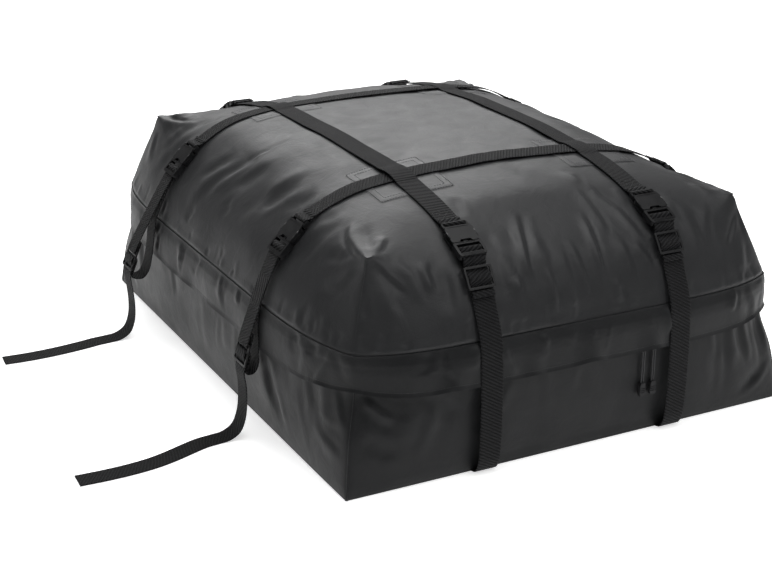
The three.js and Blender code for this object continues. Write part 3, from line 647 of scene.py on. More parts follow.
# Folds in the lid's front left quarter and middle, in millimetres: (line of x, y), width, height, lean.
CORNER_FOLDS = [
    ([(-352, -476), (-349, -432), (-338, -386), (-322, -358), (-300, -352)], 9, 4.6, 0.35),
    ([(-336, -470), (-330, -430), (-316, -392), (-296, -374)], 10, -3.4, 0.2),
    ([(-296, -424), (-319, -450), (-342, -462)], 8, 3.2, 0.3),
    ([(-349, -478), (-330, -494), (-300, -517)], 6, -2.4, 0.3),
    ([(-344, -492), (-327, -534)], 12, 2.6, 0.2),
    ([(-370, -488), (-374, -512)], 8, -2.6, 0.2),
    ([(-362, -458), (-386, -430), (-396, -395)], 11, 2.4, 0.3),
    ([(-352, -440), (-366, -404), (-372, -360)], 12, -2.4, 0.3),
    ([(-310, -478), (-290, -500), (-282, -530)], 9, 2.0, 0.3),
]
FRONT_FOLDS = [
    ([(-251, -485), (-266, -500), (-262, -523)], 9, 2.7, 0.4),
    ([(-230, -494), (-234, -520), (-240, -545)], 11, -2.4, 0.4),
    ([(-134, -363), (-146, -395), (-154, -425)], 10, -2.4, 0.3),
    ([(-58, -426), (-78, -480), (-90, -516), (-86, -536)], 7, 4.2, 0.45),
    ([(-42, -424), (-62, -470), (-74, -515)], 9, -1.4, 0.3),
    ([(-57, -519), (-52, -536), (-53, -558)], 7, 2.7, 0.4),
    ([(-113, -526), (-110, -541)], 8, 2.0, 0.3),
    ([(-116, -490), (-120, -520), (-110, -550)], 9, 1.9, 0.3),
    ([(-136, -495), (-140, -545)], 11, -1.7, 0.3),
    ([(3, -492), (6, -527), (15, -552)], 7, 2.7, 0.4),
    ([(-20, -500), (-18, -530), (-16, -561)], 7, 1.7, 0.3),
    ([(55, -443), (51, -480), (45, -519), (48, -548)], 7, 4.4, 0.45),
    ([(77, -394), (79, -435), (81, -480), (72, -507)], 8, 2.5, 0.4),
    ([(109, -377), (106, -426), (124, -460), (134, -502), (148, -526)], 8, 2.9, 0.4),
    ([(100, -347), (94, -370), (89, -394)], 10, 1.7, 0.3),
    ([(152, -406), (148, -440), (148, -456)], 9, 1.7, 0.3),
    ([(119, -512), (137, -531), (146, -543)], 8, 2.4, 0.4),
    ([(94, -500), (100, -526), (108, -552)], 8, 2.0, 0.4),
    ([(70, -541), (74, -552), (76, -559)], 7, 1.9, 0.4),
    ([(238, -470), (246, -505), (252, -540)], 11, 2.2, 0.3),
    ([(268, -478), (280, -515), (290, -540)], 13, -2.0, 0.3),
    ([(226, -430), (240, -462), (262, -500)], 10, 1.9, 0.3),
]
LEFT_FOLDS = [
    ([(-235, 56), (-268, 46), (-295, 45), (-340, 72)], 6, -1.7, 0.4),
    ([(-318, 70), (-345, 90), (-366, 109), (-401, 134), (-424, 150)], 19, 3.2, 0.3),
    ([(-330, 104), (-362, 128), (-392, 156)], 14, -2.6, 0.3),
    ([(-286, -12), (-334, 21), (-372, 52), (-408, 84)], 18, 2.6, 0.3),
    ([(-275, -122), (-328, -96), (-362, -66)], 16, 3.2, 0.35),
    ([(-300, -150), (-344, -132), (-384, -96)], 15, -2.8, 0.3),
    ([(-303, -194), (-348, -197), (-388, -208)], 15, -3.0, 0.3),
    ([(-380, 16), (-394, 4), (-406, -16)], 12, -2.0, 0.3),
    ([(-310, 363), (-345, 372), (-380, 392)], 16, 2.2, 0.3),
    ([(-300, 330), (-346, 345), (-394, 352)], 18, -2.0, 0.3),
    ([(-416, 108), (-432, 124)], 10, -1.6, 0.3),
    ([(-330, -300), (-372, -286), (-404, -262)], 16, 2.4, 0.3),
    ([(-318, -330), (-362, -326), (-402, -312)], 15, -2.2, 0.3),
]


def smooth_points(points, weight, rounds):
    """Draws each inner point of a grid to the middle of its neighbours, by its weight."""
    for _ in range(rounds):
        around = (points[:-2, 1:-1] + points[2:, 1:-1] + points[1:-1, :-2] + points[1:-1, 2:]) / 4
        points[1:-1, 1:-1] += (around - points[1:-1, 1:-1]) * weight[1:-1, 1:-1, None]
    return points


def lid_points():
    """The lid without folds: its points, their distance up from the seam and their place along a side."""
    inner = np.linspace(0, LID_STRIP, LID_HALF + 1)
    half = np.concatenate([inner, np.linspace(LID_STRIP, 1 + LID_DOWN / PROFILE[-1], LID_EDGE + 1)[1:]])
    a = np.concatenate([-half[:0:-1], half])
    x, y = np.meshgrid(a, a)
    ring = np.maximum(np.abs(x), np.abs(y))
    front = np.abs(y) >= np.abs(x)
    side = np.where(front, np.where(y < 0, 0, 2), np.where(x > 0, 1, 3))
    t = np.where(front, np.where(y < 0, x, -x), np.where(x > 0, y, -y)) / np.maximum(ring, 1e-9)
    along = (1 - ring) * PROFILE[-1]
    upper = lid_level(np.maximum(along, 0))
    lower = tub_level(SEAM_Z + np.minimum(along, 0))
    level = [np.where(along.ravel() >= 0, u, w).reshape(x.shape) for u, w in zip(upper, lower)]
    points = outline(level, side, t)
    rise = rising(points[..., 2], DART_TIP.z + 0.001, 0.014)
    diagonal = np.abs(np.abs(points[..., 0]) - np.abs(points[..., 1]) + DART_TIP.y - DART_TIP.x)
    points = smooth_points(points, rise * np.clip(1.6 - diagonal / 0.10, 0, 1), 200)
    shoulder = bell(points[..., 2] - DART_TIP.z, 0.018) * np.clip((0.97 - np.abs(t)) / 0.12, 0, 1)
    return smooth_points(points, shoulder, 130), along, t


def search_tree(points):
    return BVHTree.FromPolygons([Vector(p) for p in points.reshape(-1, 3)], grid_faces(*points.shape[:2]))


def above(surface, x, y):
    """Height and normal of a surface straight below a point, or the seam's height beside it."""
    place, normal, _, _ = surface.ray_cast(Vector((x, y, 0.6)), Vector((0, 0, -1)))
    return (SEAM_Z, UP) if place is None else (place.z, np.array(normal))


def lid_folds(points, normals):
    """Height of all the folds, mirrored with small changes to the sides that the photo doesn't show."""
    ground = search_tree(points[::4, ::4])
    source = np.random.default_rng(21)
    draw = source.uniform
    total = 0.0016 * smooth_noise(points, 0.26, 3) + 0.0007 * smooth_noise(points, 0.09, 4)

    def add(line, width, height, lean, mirror=(1, 1), change=0.0):
        nonlocal total
        shift = draw(-1, 1, 2) * change
        line = (np.array(line) / 1000 + shift) * mirror
        line = [(x, y, above(ground, x, y)[0]) for x, y in line]
        size = height / 1000 * (1 + draw(-6, 6) * change)
        total = total + crease(points, normals, line, width / 1000, size, lean)

    for mirror, change in (((1, 1), 0.0), ((-1, 1), 0.012), ((1, -1), 0.012), ((-1, -1), 0.012)):
        for entry in CORNER_FOLDS:
            add(*entry, mirror, change)
    for mirror, change in (((1, 1), 0.0), ((-1, -1), 0.015)):
        for entry in FRONT_FOLDS + LEFT_FOLDS:
            add(*entry, mirror, change)
    for mirror in (1, -1):
        for _ in range(22):
            x, y, run = draw(-350, -262), draw(-380, 400), draw(40, 95)
            line = [(x, y), (x - run * 0.55, y + run * 0.26), (x - run, y + run * 0.62)]
            line = [(max(px, -430), py) for px, py in line]
            add(line, draw(12, 20), source.choice([-1, 1]) * draw(1.0, 2.6), 0.2, (mirror, 1))
        for _ in range(14):
            x, y, run = draw(-300, 300), draw(-500, -420), draw(35, 90)
            line = [(x, y), (x - run * 0.12, y - run * 0.5), (x - run * 0.1, max(y - run, -556))]
            add(line, draw(8, 13), source.choice([-1, 1]) * draw(0.7, 1.8), 0.35, (1, mirror))
    for side in range(4):
        for _ in range(34):         # short puckers above the seam
            t, reach = draw(-0.97, 0.97), draw(0.014, 0.05)
            z = np.array([SEAM_Z + 0.001, SEAM_Z + reach / 2, SEAM_Z + reach])
            level = lid_level(np.interp(z, LID_LEVELS[:, 0], PROFILE))
            line = outline(level, side, np.array([t, t + draw(-0.012, 0.012), t + draw(-0.02, 0.02)]))
            size = source.choice([-1, 1]) * draw(0.0005, 0.0014)
            total = total + crease(points, normals, line, draw(0.0045, 0.008), size, 0.2)
    return total


def lid():
    points, along, t = lid_points()
    normals = grid_normals(points)
    below_tip = points[..., 2] < DART_TIP.z
    near_dart = np.where(below_tip, np.clip((1 - np.abs(t)) / 0.02, 0, 1) ** 0.5, 1)
    height = lid_folds(points, normals) * np.clip(along / 0.006, 0, 1) * near_dart
    roll = 0.0005 * bell(along - 0.008, 0.006) - 0.0014 * bell(along, 0.0022)
    groove = np.where(below_tip & (along > 0), -0.0020 * np.exp(-((1 - np.abs(t)) / 0.010)), 0)
    points = points + normals * (height + roll + groove)[..., None]
    ride(sheet_object("lid_sheet", points, FABRIC, FABRIC_THICK), "lid_cover", "tarpaulin", "lid")
    return points


lid_grid = lid()
lid_surface = search_tree(lid_grid)


def lid_height(x, y):
    return above(lid_surface, x, y)[0]


def dart_seams():
    """The sewn ridge of each dart."""
    for end, rows in (("front", lid_grid), ("rear", lid_grid[::-1])):
        for side, grid in (("left", rows), ("right", rows[:, ::-1])):
            line = np.array([grid[k, k] for k in range((len(grid) - 1) // 3)])
            line = line[(line[:, 2] > SEAM_Z + 0.001) & (line[:, 2] < DART_TIP.z - 0.001)]
            line = line - unit(line * (1, 1, 0)) * 0.0006
            tube(f"dart_seam_{end}_{side}", line, 0.0008, FABRIC, "lid_cover", "tarpaulin", sides=6)


dart_seams()

# ---------- storm flap ----------

FLAP_DROP = np.array([0.0, 0.010, 0.019, 0.035, 0.060, 0.090])      # distance below the seam
FLAP_STAND = np.array([0.0, 0.0038, 0.0068, 0.0088, 0.0090, 0.0084])
# Where the lower edge stands off the wall: place along the band, half width, rise, extra distance.
FLAP_GAPS = [
    (0.42, 0.035, 0.003, 0.004), (0.93, 0.030, 0.003, 0.004), (1.195, 0.046, 0.005, 0.007),
    (1.375, 0.030, 0.002, 0.004), (1.508, 0.046, 0.006, 0.008), (1.655, 0.038, 0.004, 0.007),
    (2.30, 0.050, 0.004, 0.005), (2.72, 0.040, 0.003, 0.004),
]
SLIDERS_REACH = 0.218       # half the width of the front that the zip sliders cover


def band(u, z, grow):
    """Points on the left, front and right sides: u from 0 to 3 counts the sides."""
    order = np.array([3, 0, 1])
    k = np.clip(np.floor(u + 1e-9).astype(int), 0, 2)
    t = np.minimum(1, (u - k) * 2 - 1)
    return outline(tub_level(z), order[k], t, grow)


def flap():
    columns, rows = 620, 30
    u = np.linspace(0.012, 2.988, columns)
    corner = np.abs((u % 1) * 2 - 1)
    ripple = smooth_noise(band(u, np.full(columns, 0.17), 0.0), 0.17, 90)
    low = FLAP_LOW_Z + FLAP_RISE * corner ** 6 + 0.0018 * ripple
    open_edge = 0 * u
    for place, half_width, rise, extra in FLAP_GAPS:
        hump = np.clip(1 - ((u - place) / half_width) ** 2, 0, 1) ** 2
        low, open_edge = low + rise * hump, open_edge + extra * hump
    v = np.linspace(0, 1, rows)
    ends = np.clip(np.minimum(u, 3 - u) / 0.09, 0, 1)
    tight = (0.35 + 0.65 * np.clip((1 - corner) / 0.22, 0, 1)) * (0.4 + 0.6 * ends)
    points = []
    for share in v:
        z = low + (SEAM_Z - 0.0004 - low) * share
        stand = hermite(SEAM_Z - z, FLAP_DROP, FLAP_STAND[:, None])[:, 0]
        stand = stand + open_edge * (1 - share) ** 1.6
        loose = 0.0026 * ripple * (1 - share) ** 1.5
        flare = 0.0016 * (1 - share) + 0.0016 * math.exp(-(share / 0.05) ** 2)
        points.append(band(u, z, 0.0003 + stand * tight + flare + loose * tight))
    points = np.stack(points)
    normals = grid_normals(points)
    height = np.zeros(points.shape[:2])
    source = np.random.default_rng(77)
    draw = source.uniform
    for _ in range(64):
        at, drift, reach = draw(0.03, 2.97), draw(-0.05, 0.05), draw(0.35, 1.0)
        line = []
        for share in np.linspace(0, reach, 5):
            place = min(2.98, max(0.02, at + drift * share ** 1.4))
            column = int(np.interp(place, u, np.arange(columns)))
            line.append(points[int((1 - share) * (rows - 1)), column])
        size = source.choice([-1, 1], p=[0.45, 0.55]) * draw(0.0010, 0.0030)
        height = height + crease(points, normals, line, draw(0.006, 0.012), size, 0.4, 0.3)
    height = height * np.clip((1 - v) / 0.05, 0, 1)[:, None]
    height = height * (0.5 + 0.5 * np.clip((1 - corner) / 0.1, 0, 1))
    rolled = 0.0007 * bell(1 - v, 0.03)[:, None]
    beyond = np.where(points[..., 1] < -0.5, rising(np.abs(points[..., 0]), SLIDERS_REACH, 0.03), 1.0)
    height = np.maximum(height, -0.0025 * beyond)          # no furrow over the sliders' travel
    points = points + normals * (height + 0.0006 * (1 - beyond) + rolled)[..., None]
    piece = sheet_object("storm_flap_sheet", points, SHADED_WALL_FABRIC, 0.0014)
    ride(piece, "lid_cover", "tarpaulin", "storm_flap")
    hem = points[3] + normals[3] * 0.0001
    stitches("flap_hem_stitches", [hem], [normals[3]], "lid_cover", "tarpaulin", thick=0.0004)


flap()

# ---------- webbing ----------


class Track:
    """Line of travel of a piece of hardware in a strap's plane, in millimetres: s down the strap,
    n out of the bag. Its points are (u, v) in metres: u outward, v up."""

    def __init__(self, u, v, tilt):
        self.start, a = np.array((u, v)) / 1000, math.radians(tilt)
        self.along, self.out = np.array((math.cos(a), -math.sin(a))), np.array((math.sin(a), math.cos(a)))

    def at(self, *pairs):
        return [self.start + self.along * s / 1000 + self.out * n / 1000 for s, n in pairs]

    def turn(self, s, radius, start, end, count):
        angles = np.radians(np.linspace(start, end, count + 1))
        return self.at(*[(s + radius * math.cos(a), radius * math.sin(a)) for a in angles])


FRONT_BUCKLE, FRONT_GLIDE = Track(443, 390, FRONT_TILT), Track(518.5, 343, FRONT_GLIDE_TILT)
SIDE_BUCKLE = Track(360.4, 370.1, SIDE_TILT)
NEAR_GLIDE, FAR_GLIDE = Track(471.5, 169, NEAR_GLIDE_TILT), Track(494, 177, FAR_GLIDE_TILT)
FEMALE_BAR_S, FEMALE_LOOP = 1.75, 4.2
MALE_BAR_S, MALE_LOOP = 59.75, 4.6


def curve_through(points, spacing=0.004):
    """A smooth line through points (centripetal Catmull-Rom), with samples a spacing apart."""
    points = np.asarray(points, float)
    padded = np.vstack([2 * points[0] - points[1], points, 2 * points[-1] - points[-2]])
    line = []
    for k in range(1, len(padded) - 2):
        p = padded[k - 1:k + 3]
        steps = np.maximum(np.linalg.norm(np.diff(p, axis=0), axis=1), 1e-7)
        knots = np.concatenate([[0], np.cumsum(steps ** 0.5)])
        count = max(2, int(np.linalg.norm(p[2] - p[1]) / spacing) + 1)
        t = np.linspace(knots[1], knots[2], count, endpoint=k == len(padded) - 3)[:, None]

        def between(i, j, first, second):
            return ((knots[j] - t) * first + (t - knots[i]) * second) / (knots[j] - knots[i])

        a = [between(i, i + 1, p[i], p[i + 1]) for i in range(3)]
        b = [between(i, i + 2, a[i], a[i + 1]) for i in range(2)]
        line.append(between(1, 2, *b))
    return np.vstack(line)


def webbing(name, line, across):
    """A woven ribbon along a line: a flat section with rounded selvedges. across is the direction of
    its width, one for the whole line or one for each point."""
    line = np.asarray(line, float)
    tangent = unit(np.gradient(line, axis=0))
    across = np.broadcast_to(np.asarray(across, float), line.shape)
    across = unit(across - tangent * (across * tangent).sum(1, keepdims=True))
    out = np.cross(across, tangent)
    h, t = WEBBING / 2, WEB_THICK / 2
    half = [(-h, 0), (-h + 0.0003, 0.6 * t), (-h + 0.0011, t)]
    half += [(h * w, t) for w in (-0.75, -0.45, -0.15, 0.15, 0.45, 0.75)]
    half += [(h - 0.0011, t), (h - 0.0003, 0.6 * t)]
    section = half + [(-w, -n) for w, n in half]
    rings = np.stack([line + w * across + n * out for w, n in section], axis=1)
    uv = np.stack(np.broadcast_arrays([w for w, _ in section], travel(line)[:, None]), axis=-1)
    return swept(name, rings, WEB, uv=uv.reshape(-1, 2))


class Plane:
    """The upright plane that a strap lies in: u outward, v up."""

    def __init__(self, origin, outward):
        self.origin, self.outward = np.array(origin, float), np.array(outward, float)
        self.across = np.cross(self.outward, (0, 0, 1))

    def place(self, points):
        points = np.asarray(points, float)
        return self.origin + points[:, :1] * self.outward + points[:, 1:] * UP


PLANES = {}
for end, away in (("front", -1), ("rear", 1)):
    for side, x in (("left", -LONG_X), ("right", LONG_X)):
        PLANES[f"{end}_{side}"] = Plane((x, 0, 0), (0, away, 0))
for side, away in (("left", -1), ("right", 1)):
    for end, y in (("front", -CROSS_Y), ("rear", CROSS_Y)):
        PLANES[f"{side}_{end}"] = Plane((0, y, 0), (away, 0, 0))


def edge_rows(corners, count):
    """Each edge of a path over corners, as a row of points."""
    share = np.linspace(0, 1, count + 1)[:, None]
    corners = np.array(corners, float)
    return [a + (b - a) * share for a, b in zip(corners, corners[1:])]


def patch(name, centre):
    """Reinforcement patch on the lid under a strap crossing."""
    cells = 30
    marks = np.linspace(-1, 1, cells + 1)
    points = np.zeros((cells + 1, cells + 1, 3))
    for j, b in enumerate(marks):
        for i, a in enumerate(marks):
            x, y = centre + np.array((a, b)) * PATCH / 2 * (1 - 0.02 * (a * b) ** 6)
            edge = max(abs(a), abs(b))
            lift = 0.0010 - 0.0009 * rising(edge, 0.90, 0.10) ** 2 + 0.0004 * bell(edge - 0.86, 0.05)
            points[j, i] = (x, y, lid_height(x, y) + lift)
    piece = sheet_object(f"patch_panel_{name}", points, PATCHING, 0.0011)
    ride(piece, "lid_cover", "patch_fabric", f"patch_{name}")
    paths, normals = [], []
    for inset in (0.0035, 0.0145):
        h = PATCH / 2 - inset
        corners = centre + np.array([(-h, -h), (h, -h), (h, h), (-h, h), (-h, -h)])
        for line in edge_rows(corners, 24):
            hits = [above(lid_surface, x, y) for x, y in line]
            paths.append([(x, y, z + 0.0012) for (x, y), (z, _) in zip(line, hits)])
            normals.append([normal for _, normal in hits])
    stitches(f"patch_stitches_{name}", paths, normals, "lid_cover", "patch_fabric", PALE_THREAD)


for end, y in (("front", -CROSS_Y - 0.007), ("rear", CROSS_Y + 0.007)):
    for side, x in (("left", -LONG_X - 0.002), ("right", LONG_X + 0.002)):
        patch(f"{end}_{side}", np.array((x, y)))


def beside(x, y, along_x, offset):
    return lid_height(x, y + offset) if along_x else lid_height(x + offset, y)


def height_under(x, y, along_x, lean):
    """Highest point of the lid under a strap that leans sideways with it."""
    return max(beside(x, y, along_x, d) - lean * d for d in (-0.021, -0.0105, 0.0, 0.0105, 0.021))


def upper_strap(name, line, along_x, place, crossing, crossing_lift):
    """Strap over the lid between two female halves, folded back round their bars and sewn."""
    end, = line.at((FEMALE_BAR_S, FEMALE_LOOP))
    climb, on_top, lift = 0.075, WEBBING / 2 + 0.004, 0.0026
    u = np.concatenate([np.linspace(0, crossing - on_top - 0.012, 14), crossing + on_top * np.arange(-1, 2),
                        np.linspace(crossing + on_top + 0.012, end[0] - 0.012, 12)])

    def both_halves(measure, value):
        return [measure(sign * value, place) if along_x else measure(place, sign * value) for sign in (1, -1)]

    def slope(x, y):
        return (beside(x, y, along_x, 0.018) - beside(x, y, along_x, -0.018)) / 0.036

    def ground(value, lean):
        over = abs(value - crossing) <= on_top and not along_x
        level = crossing - WEBBING / 2 if over else value
        return max(both_halves(lambda x, y: height_under(x, y, along_x, lean), level))

    lean = np.polyval(np.polyfit(u, [np.mean(both_halves(slope, value)) for value in u], 3), u)
    lean = lean * np.clip((end[0] - 0.006 - u) / 0.045, 0, 1)
    heights = np.array([ground(*pair) for pair in zip(u, lean)])
    stand = end[1] - ground(end[0], 0.0)
    near = rising(u, end[0] - climb, climb)
    bump = np.clip((on_top + 0.010 - np.abs(u - crossing)) / 0.010, 0, 1)
    v = heights + lift + bump * crossing_lift + (stand - lift) * near ** 5 * 0.85
    half = np.stack([u, v], axis=-1)
    turn = line.turn(FEMALE_BAR_S, FEMALE_LOOP, 90, -90, 8)
    tail = line.at((FEMALE_BAR_S - 8, -FEMALE_LOOP + 0.3), (FEMALE_BAR_S - 18, -FEMALE_LOOP + 0.3))
    outgoing = np.vstack([half, turn, tail])
    plane = Plane((0, place, 0), (1, 0, 0)) if along_x else Plane((place, 0, 0), (0, 1, 0))
    route = curve_through(np.vstack([outgoing[:0:-1] * (-1, 1), outgoing]))
    lean = lean * (plane.across @ ((0, 1, 0) if along_x else (1, 0, 0)))
    across = plane.across + np.interp(np.abs(route[:, :1]), u, lean, right=0.0) * UP
    piece = webbing(name + "_webbing", plane.place(route), across)
    ride(piece, "lid_cover", "webbing", name)
    return u, v, lean, plane


def box_stitch(name, strap, sign):
    """The sewn box with a cross where the strap is folded back round a buckle's bar."""
    u, v, lean, plane = strap
    near, far, half = u[-1] - 0.004, u[-1] - 0.034, 0.016

    def point(a, w):
        height = np.interp(a, u, v) + w * np.interp(a, u, lean) + WEB_THICK / 2
        return plane.origin + sign * a * plane.outward + w * plane.across + height * UP

    corners = [(near, -half), (near, half), (far, half), (far, -half)] * 2
    corners[5:] = [(far, half), (far, -half), (near, half)]
    paths = [[point(a, w) for a, w in line] for line in edge_rows(corners, 6)]
    slope = (np.interp(near, u, v) - np.interp(far, u, v)) / (near - far)
    up = -sign * slope * plane.outward + UP
    stitches(f"box_stitch_{name}", paths, [[up] * 7] * len(paths), "lid_cover", "webbing")


for strap, x in (("long_strap_left", -LONG_X), ("long_strap_right", LONG_X)):
    laid = upper_strap(strap, FRONT_BUCKLE, False, x, CROSS_Y, WEB_THICK + 0.0006)
    box_stitch(f"{strap}_rear", laid, 1)
    box_stitch(f"{strap}_front", laid, -1)
for strap, y in (("cross_strap_front", -CROSS_Y), ("cross_strap_rear", CROSS_Y)):
    laid = upper_strap(strap, SIDE_BUCKLE, True, y, LONG_X, 0.0)
    box_stitch(f"{strap}_right", laid, 1)
    box_stitch(f"{strap}_left", laid, -1)

LOWER_ROUTE = [(0.5565, 0.268), (0.569, 0.238), (0.5739, 0.215), (0.5742, 0.2068)]
WALL_ROUTE = [(0.5743, 0.2034), (0.5762, 0.165), (0.577, 0.120), (0.5754, 0.060), (0.571, 0.022),
              (0.562, 0.0052), (0.549, 0.0009)]


def male_loop(outer_end):
    """Webbing from behind the male half's end round its bar."""
    outer = SIDE_BUCKLE if outer_end else FRONT_BUCKLE
    first = 79 if outer_end else 77
    return outer.at((first, -0.2), (69, -0.2), (65, 2.2)) + outer.turn(MALE_BAR_S, MALE_LOOP, 55, 300, 10)


def strap_end_route():
    """Webbing over the tri-glide's middle bar, round the male half's bar and back behind both."""
    over = FRONT_GLIDE.at(
        (41, -1.0), (49, -0.7), (50.6, -1.9), (49, -3.1), (44, -3.2), (35, -3.2), (28.5, -1.2), (23.2, 3.0),
        (20, 3.5), (16.8, 3.0), (11.5, -1.2), (4.2, -3.1), (-1, -3.1))
    back = FRONT_BUCKLE.at((66, -4), (77, -4))
    return over + male_loop(False) + back + FRONT_GLIDE.at(*[(s, -6.2) for s in (-2, 12, 28, 40, 52)])


def long_strap_ends():
    for side, x in (("left", -LONG_X), ("right", LONG_X)):
        front, rear = PLANES[f"front_{side}"], PLANES[f"rear_{side}"]
        route = curve_through(strap_end_route() + LOWER_ROUTE[:3] + WALL_ROUTE)
        under = [(u, 0.0009) for u in (0.4, 0.0, -0.4)] + [(-u, v) for u, v in WALL_ROUTE[::-1]]
        rest = curve_through(WALL_ROUTE[-2:] + under)
        start = int(np.argmin(np.linalg.norm(rest - np.array(WALL_ROUTE[-1]), axis=1)))
        whole = np.vstack([route[:-1], rest[start:]])
        whole[:, 1] = np.maximum(whole[:, 1], WEB_THICK / 2)
        piece = webbing(f"belt_webbing_{side}", front.place(whole), front.across)
        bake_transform(piece)
        ride(piece, None, "webbing", f"belt_{side}", f"strap_end_front_{side}")
        upper = curve_through(strap_end_route() + LOWER_ROUTE)
        piece = webbing(f"rear_webbing_{side}", rear.place(upper), rear.across)
        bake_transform(piece)
        ride(piece, None, "webbing", f"rear_strap_{side}", f"strap_end_rear_{side}")


long_strap_ends()

# The way down the lid behind the side loops' tri-glides.
NEAR_INNER = [(0.423, 0.296), (0.440, 0.262), (0.4505, 0.236), (0.4543, 0.212), (0.4546, 0.165),
              (0.457, 0.128), (0.466, 0.117)]
FAR_INNER = [(0.423, 0.296), (0.440, 0.262), (0.451, 0.236), (0.456, 0.212), (0.463, 0.168),
             (0.473, 0.134), (0.485, 0.122)]


def side_loop(place, glide, inner):
    """Webbing sewn to the tri-glide's top bar, round the male half's bar, down behind the tri-glide
    and out over its middle bar."""
    sewn = glide.at((-20, -3.2), (-8, -3.2)) + glide.turn(3.2, 3.2, -90, 90, 6)
    down = SIDE_BUCKLE.at((66, -4), (76, -4)) + inner + glide.at((50, -9), (36, -8))
    over = glide.at((18, -7.2), (12.5, -5), (10.8, -2), (10.8, 1), (13.4, 3.3), (20, 3.5), (24.2, 2.9),
                    (30, -1.0), (34, -2.9), (40, -3.2))
    line = PLANES[place].place(curve_through(sewn + male_loop(True) + down + over, 0.0035))
    piece = webbing(f"side_webbing_{place}", line, PLANES[place].across)
    ride(piece, f"clip_{place}", "webbing", f"side_loop_{place}")


for place, glide, inner in (
    ("left_front", NEAR_GLIDE, NEAR_INNER), ("right_rear", NEAR_GLIDE, NEAR_INNER),
    ("left_rear", FAR_GLIDE, FAR_INNER), ("right_front", FAR_GLIDE, FAR_INNER),
):
    side_loop(place, glide, inner)

# ---------- rear hinge: the lid is sewn to the rear wall ----------


def hinge_band():
    """Strip of coated fabric sewn over the gap between the lid and the rear wall."""
    columns, rows = 120, 15
    t = np.linspace(-0.955, 0.955, columns)
    z = np.linspace(0.188, 0.2235, rows)
    v = np.linspace(-1, 1, rows)
    points = np.stack([outline(tub_level(np.full(columns, level)), 2, t, 0.0011 - 0.0008 * abs(a) ** 6)
                       for level, a in zip(z, v)])
    normals = grid_normals(points)
    waves, puckers = smooth_noise(points, 0.11, 14), np.abs(smooth_noise(points, 0.05, 15))
    height = (0.0010 + 0.0008 * waves + 0.0006 * puckers) * (1 - v ** 2)[:, None]
    points = points + normals * height[..., None]
    piece = sheet_object("rear_hinge_band", points, FABRIC, 0.0010)
    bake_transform(piece)
    ride(piece, None, "tarpaulin")
    for name, row, body in (("lower", 2, "tub"), ("upper", rows - 3, "lid_cover")):
        line = points[row] + normals[row] * 0.0001
        stitches(f"hinge_stitches_{name}", [line], [normals[row]], body, "tarpaulin", thick=0.0004)


def hinge_ribbon(side, x):
    """Short webbing sewn over the ends of the rear strap and the belt."""
    plane = PLANES[f"rear_{side}"]
    route = [(0.5772, 0.183), (0.5766, 0.190), (0.5763, 0.2000), (0.5763, 0.2100), (0.5760, 0.220),
             (0.5752, 0.227)]
    piece = webbing(f"hinge_ribbon_{side}", plane.place(curve_through(route, 0.002)), plane.across)
    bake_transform(piece)
    ride(piece, None, "webbing")
    depths, heights = np.transpose(route)
    for name, low, high, body in (("lower", 0.1845, 0.194, "tub"), ("upper", 0.216, 0.2255, "lid_cover")):
        corners = [(-0.016, low), (0.016, low), (0.016, high), (-0.016, high), (-0.016, low)]
        paths = [[(x + w, np.interp(z, heights, depths) + WEB_THICK / 2, z) for w, z in line]
                 for line in edge_rows(corners, 6)]
        stitches(f"ribbon_stitches_{side}_{name}", paths, [[(0.0, 1.0, 0.0)] * 7] * 4, body, "webbing")


hinge_band()
for ribbon_side, ribbon_x in (("left", -LONG_X), ("right", LONG_X)):
    hinge_ribbon(ribbon_side, ribbon_x)

# ---------- the two loose tails on the left ----------

FLOOR_Z = 0.0012


def tail(place, glide, y, hang, floor):
    """Free webbing that leaves a tri-glide, hangs to the floor and lies on it."""
    (u, v), = glide.at((40.4, -3.2))
    points = [(-u, y, v), (-u - 0.0015, y, v - 0.012)]
    points += [(x, y, z) for x, z in hang] + [(x, b, FLOOR_Z) for x, b in floor]
    line = curve_through(points, 0.006)
    tangent = unit(np.gradient(line, axis=0))
    flat = np.stack([-tangent[:, 1], tangent[:, 0], 0 * tangent[:, 0]], axis=-1)
    flat = np.where(flat[:, 1:2] < 0, -flat, flat)
    lying = smoothstep(np.clip((0.03 - line[:, 2]) / 0.028, 0, 1)[:, None])
    across = np.array((0.0, 1.0, 0.0)) * (1 - lying) + flat * lying
    piece = webbing(f"tail_webbing_{place}", line, across)
    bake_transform(piece)
    ride(piece, None, "webbing", f"tail_{place}")


tail("left_front", NEAR_GLIDE, -CROSS_Y,
     [(-0.479, 0.096), (-0.479, 0.066), (-0.483, 0.036), (-0.493, 0.014), (-0.511, 0.0034), (-0.532, 0.0012)],
     [(-0.556, -0.256), (-0.586, -0.266), (-0.618, -0.278), (-0.654, -0.288), (-0.694, -0.293),
      (-0.738, -0.294), (-0.783, -0.292)])
tail("left_rear", FAR_GLIDE, CROSS_Y,
     [(-0.506, 0.098), (-0.504, 0.066), (-0.507, 0.036), (-0.517, 0.014), (-0.535, 0.0034), (-0.556, 0.0012)],
     [(-0.580, 0.251), (-0.612, 0.245), (-0.648, 0.240), (-0.686, 0.237), (-0.726, 0.237), (-0.765, 0.240)])

# ---------- buckles and tri-glides: s down the strap, w across, n out, in millimetres ----------


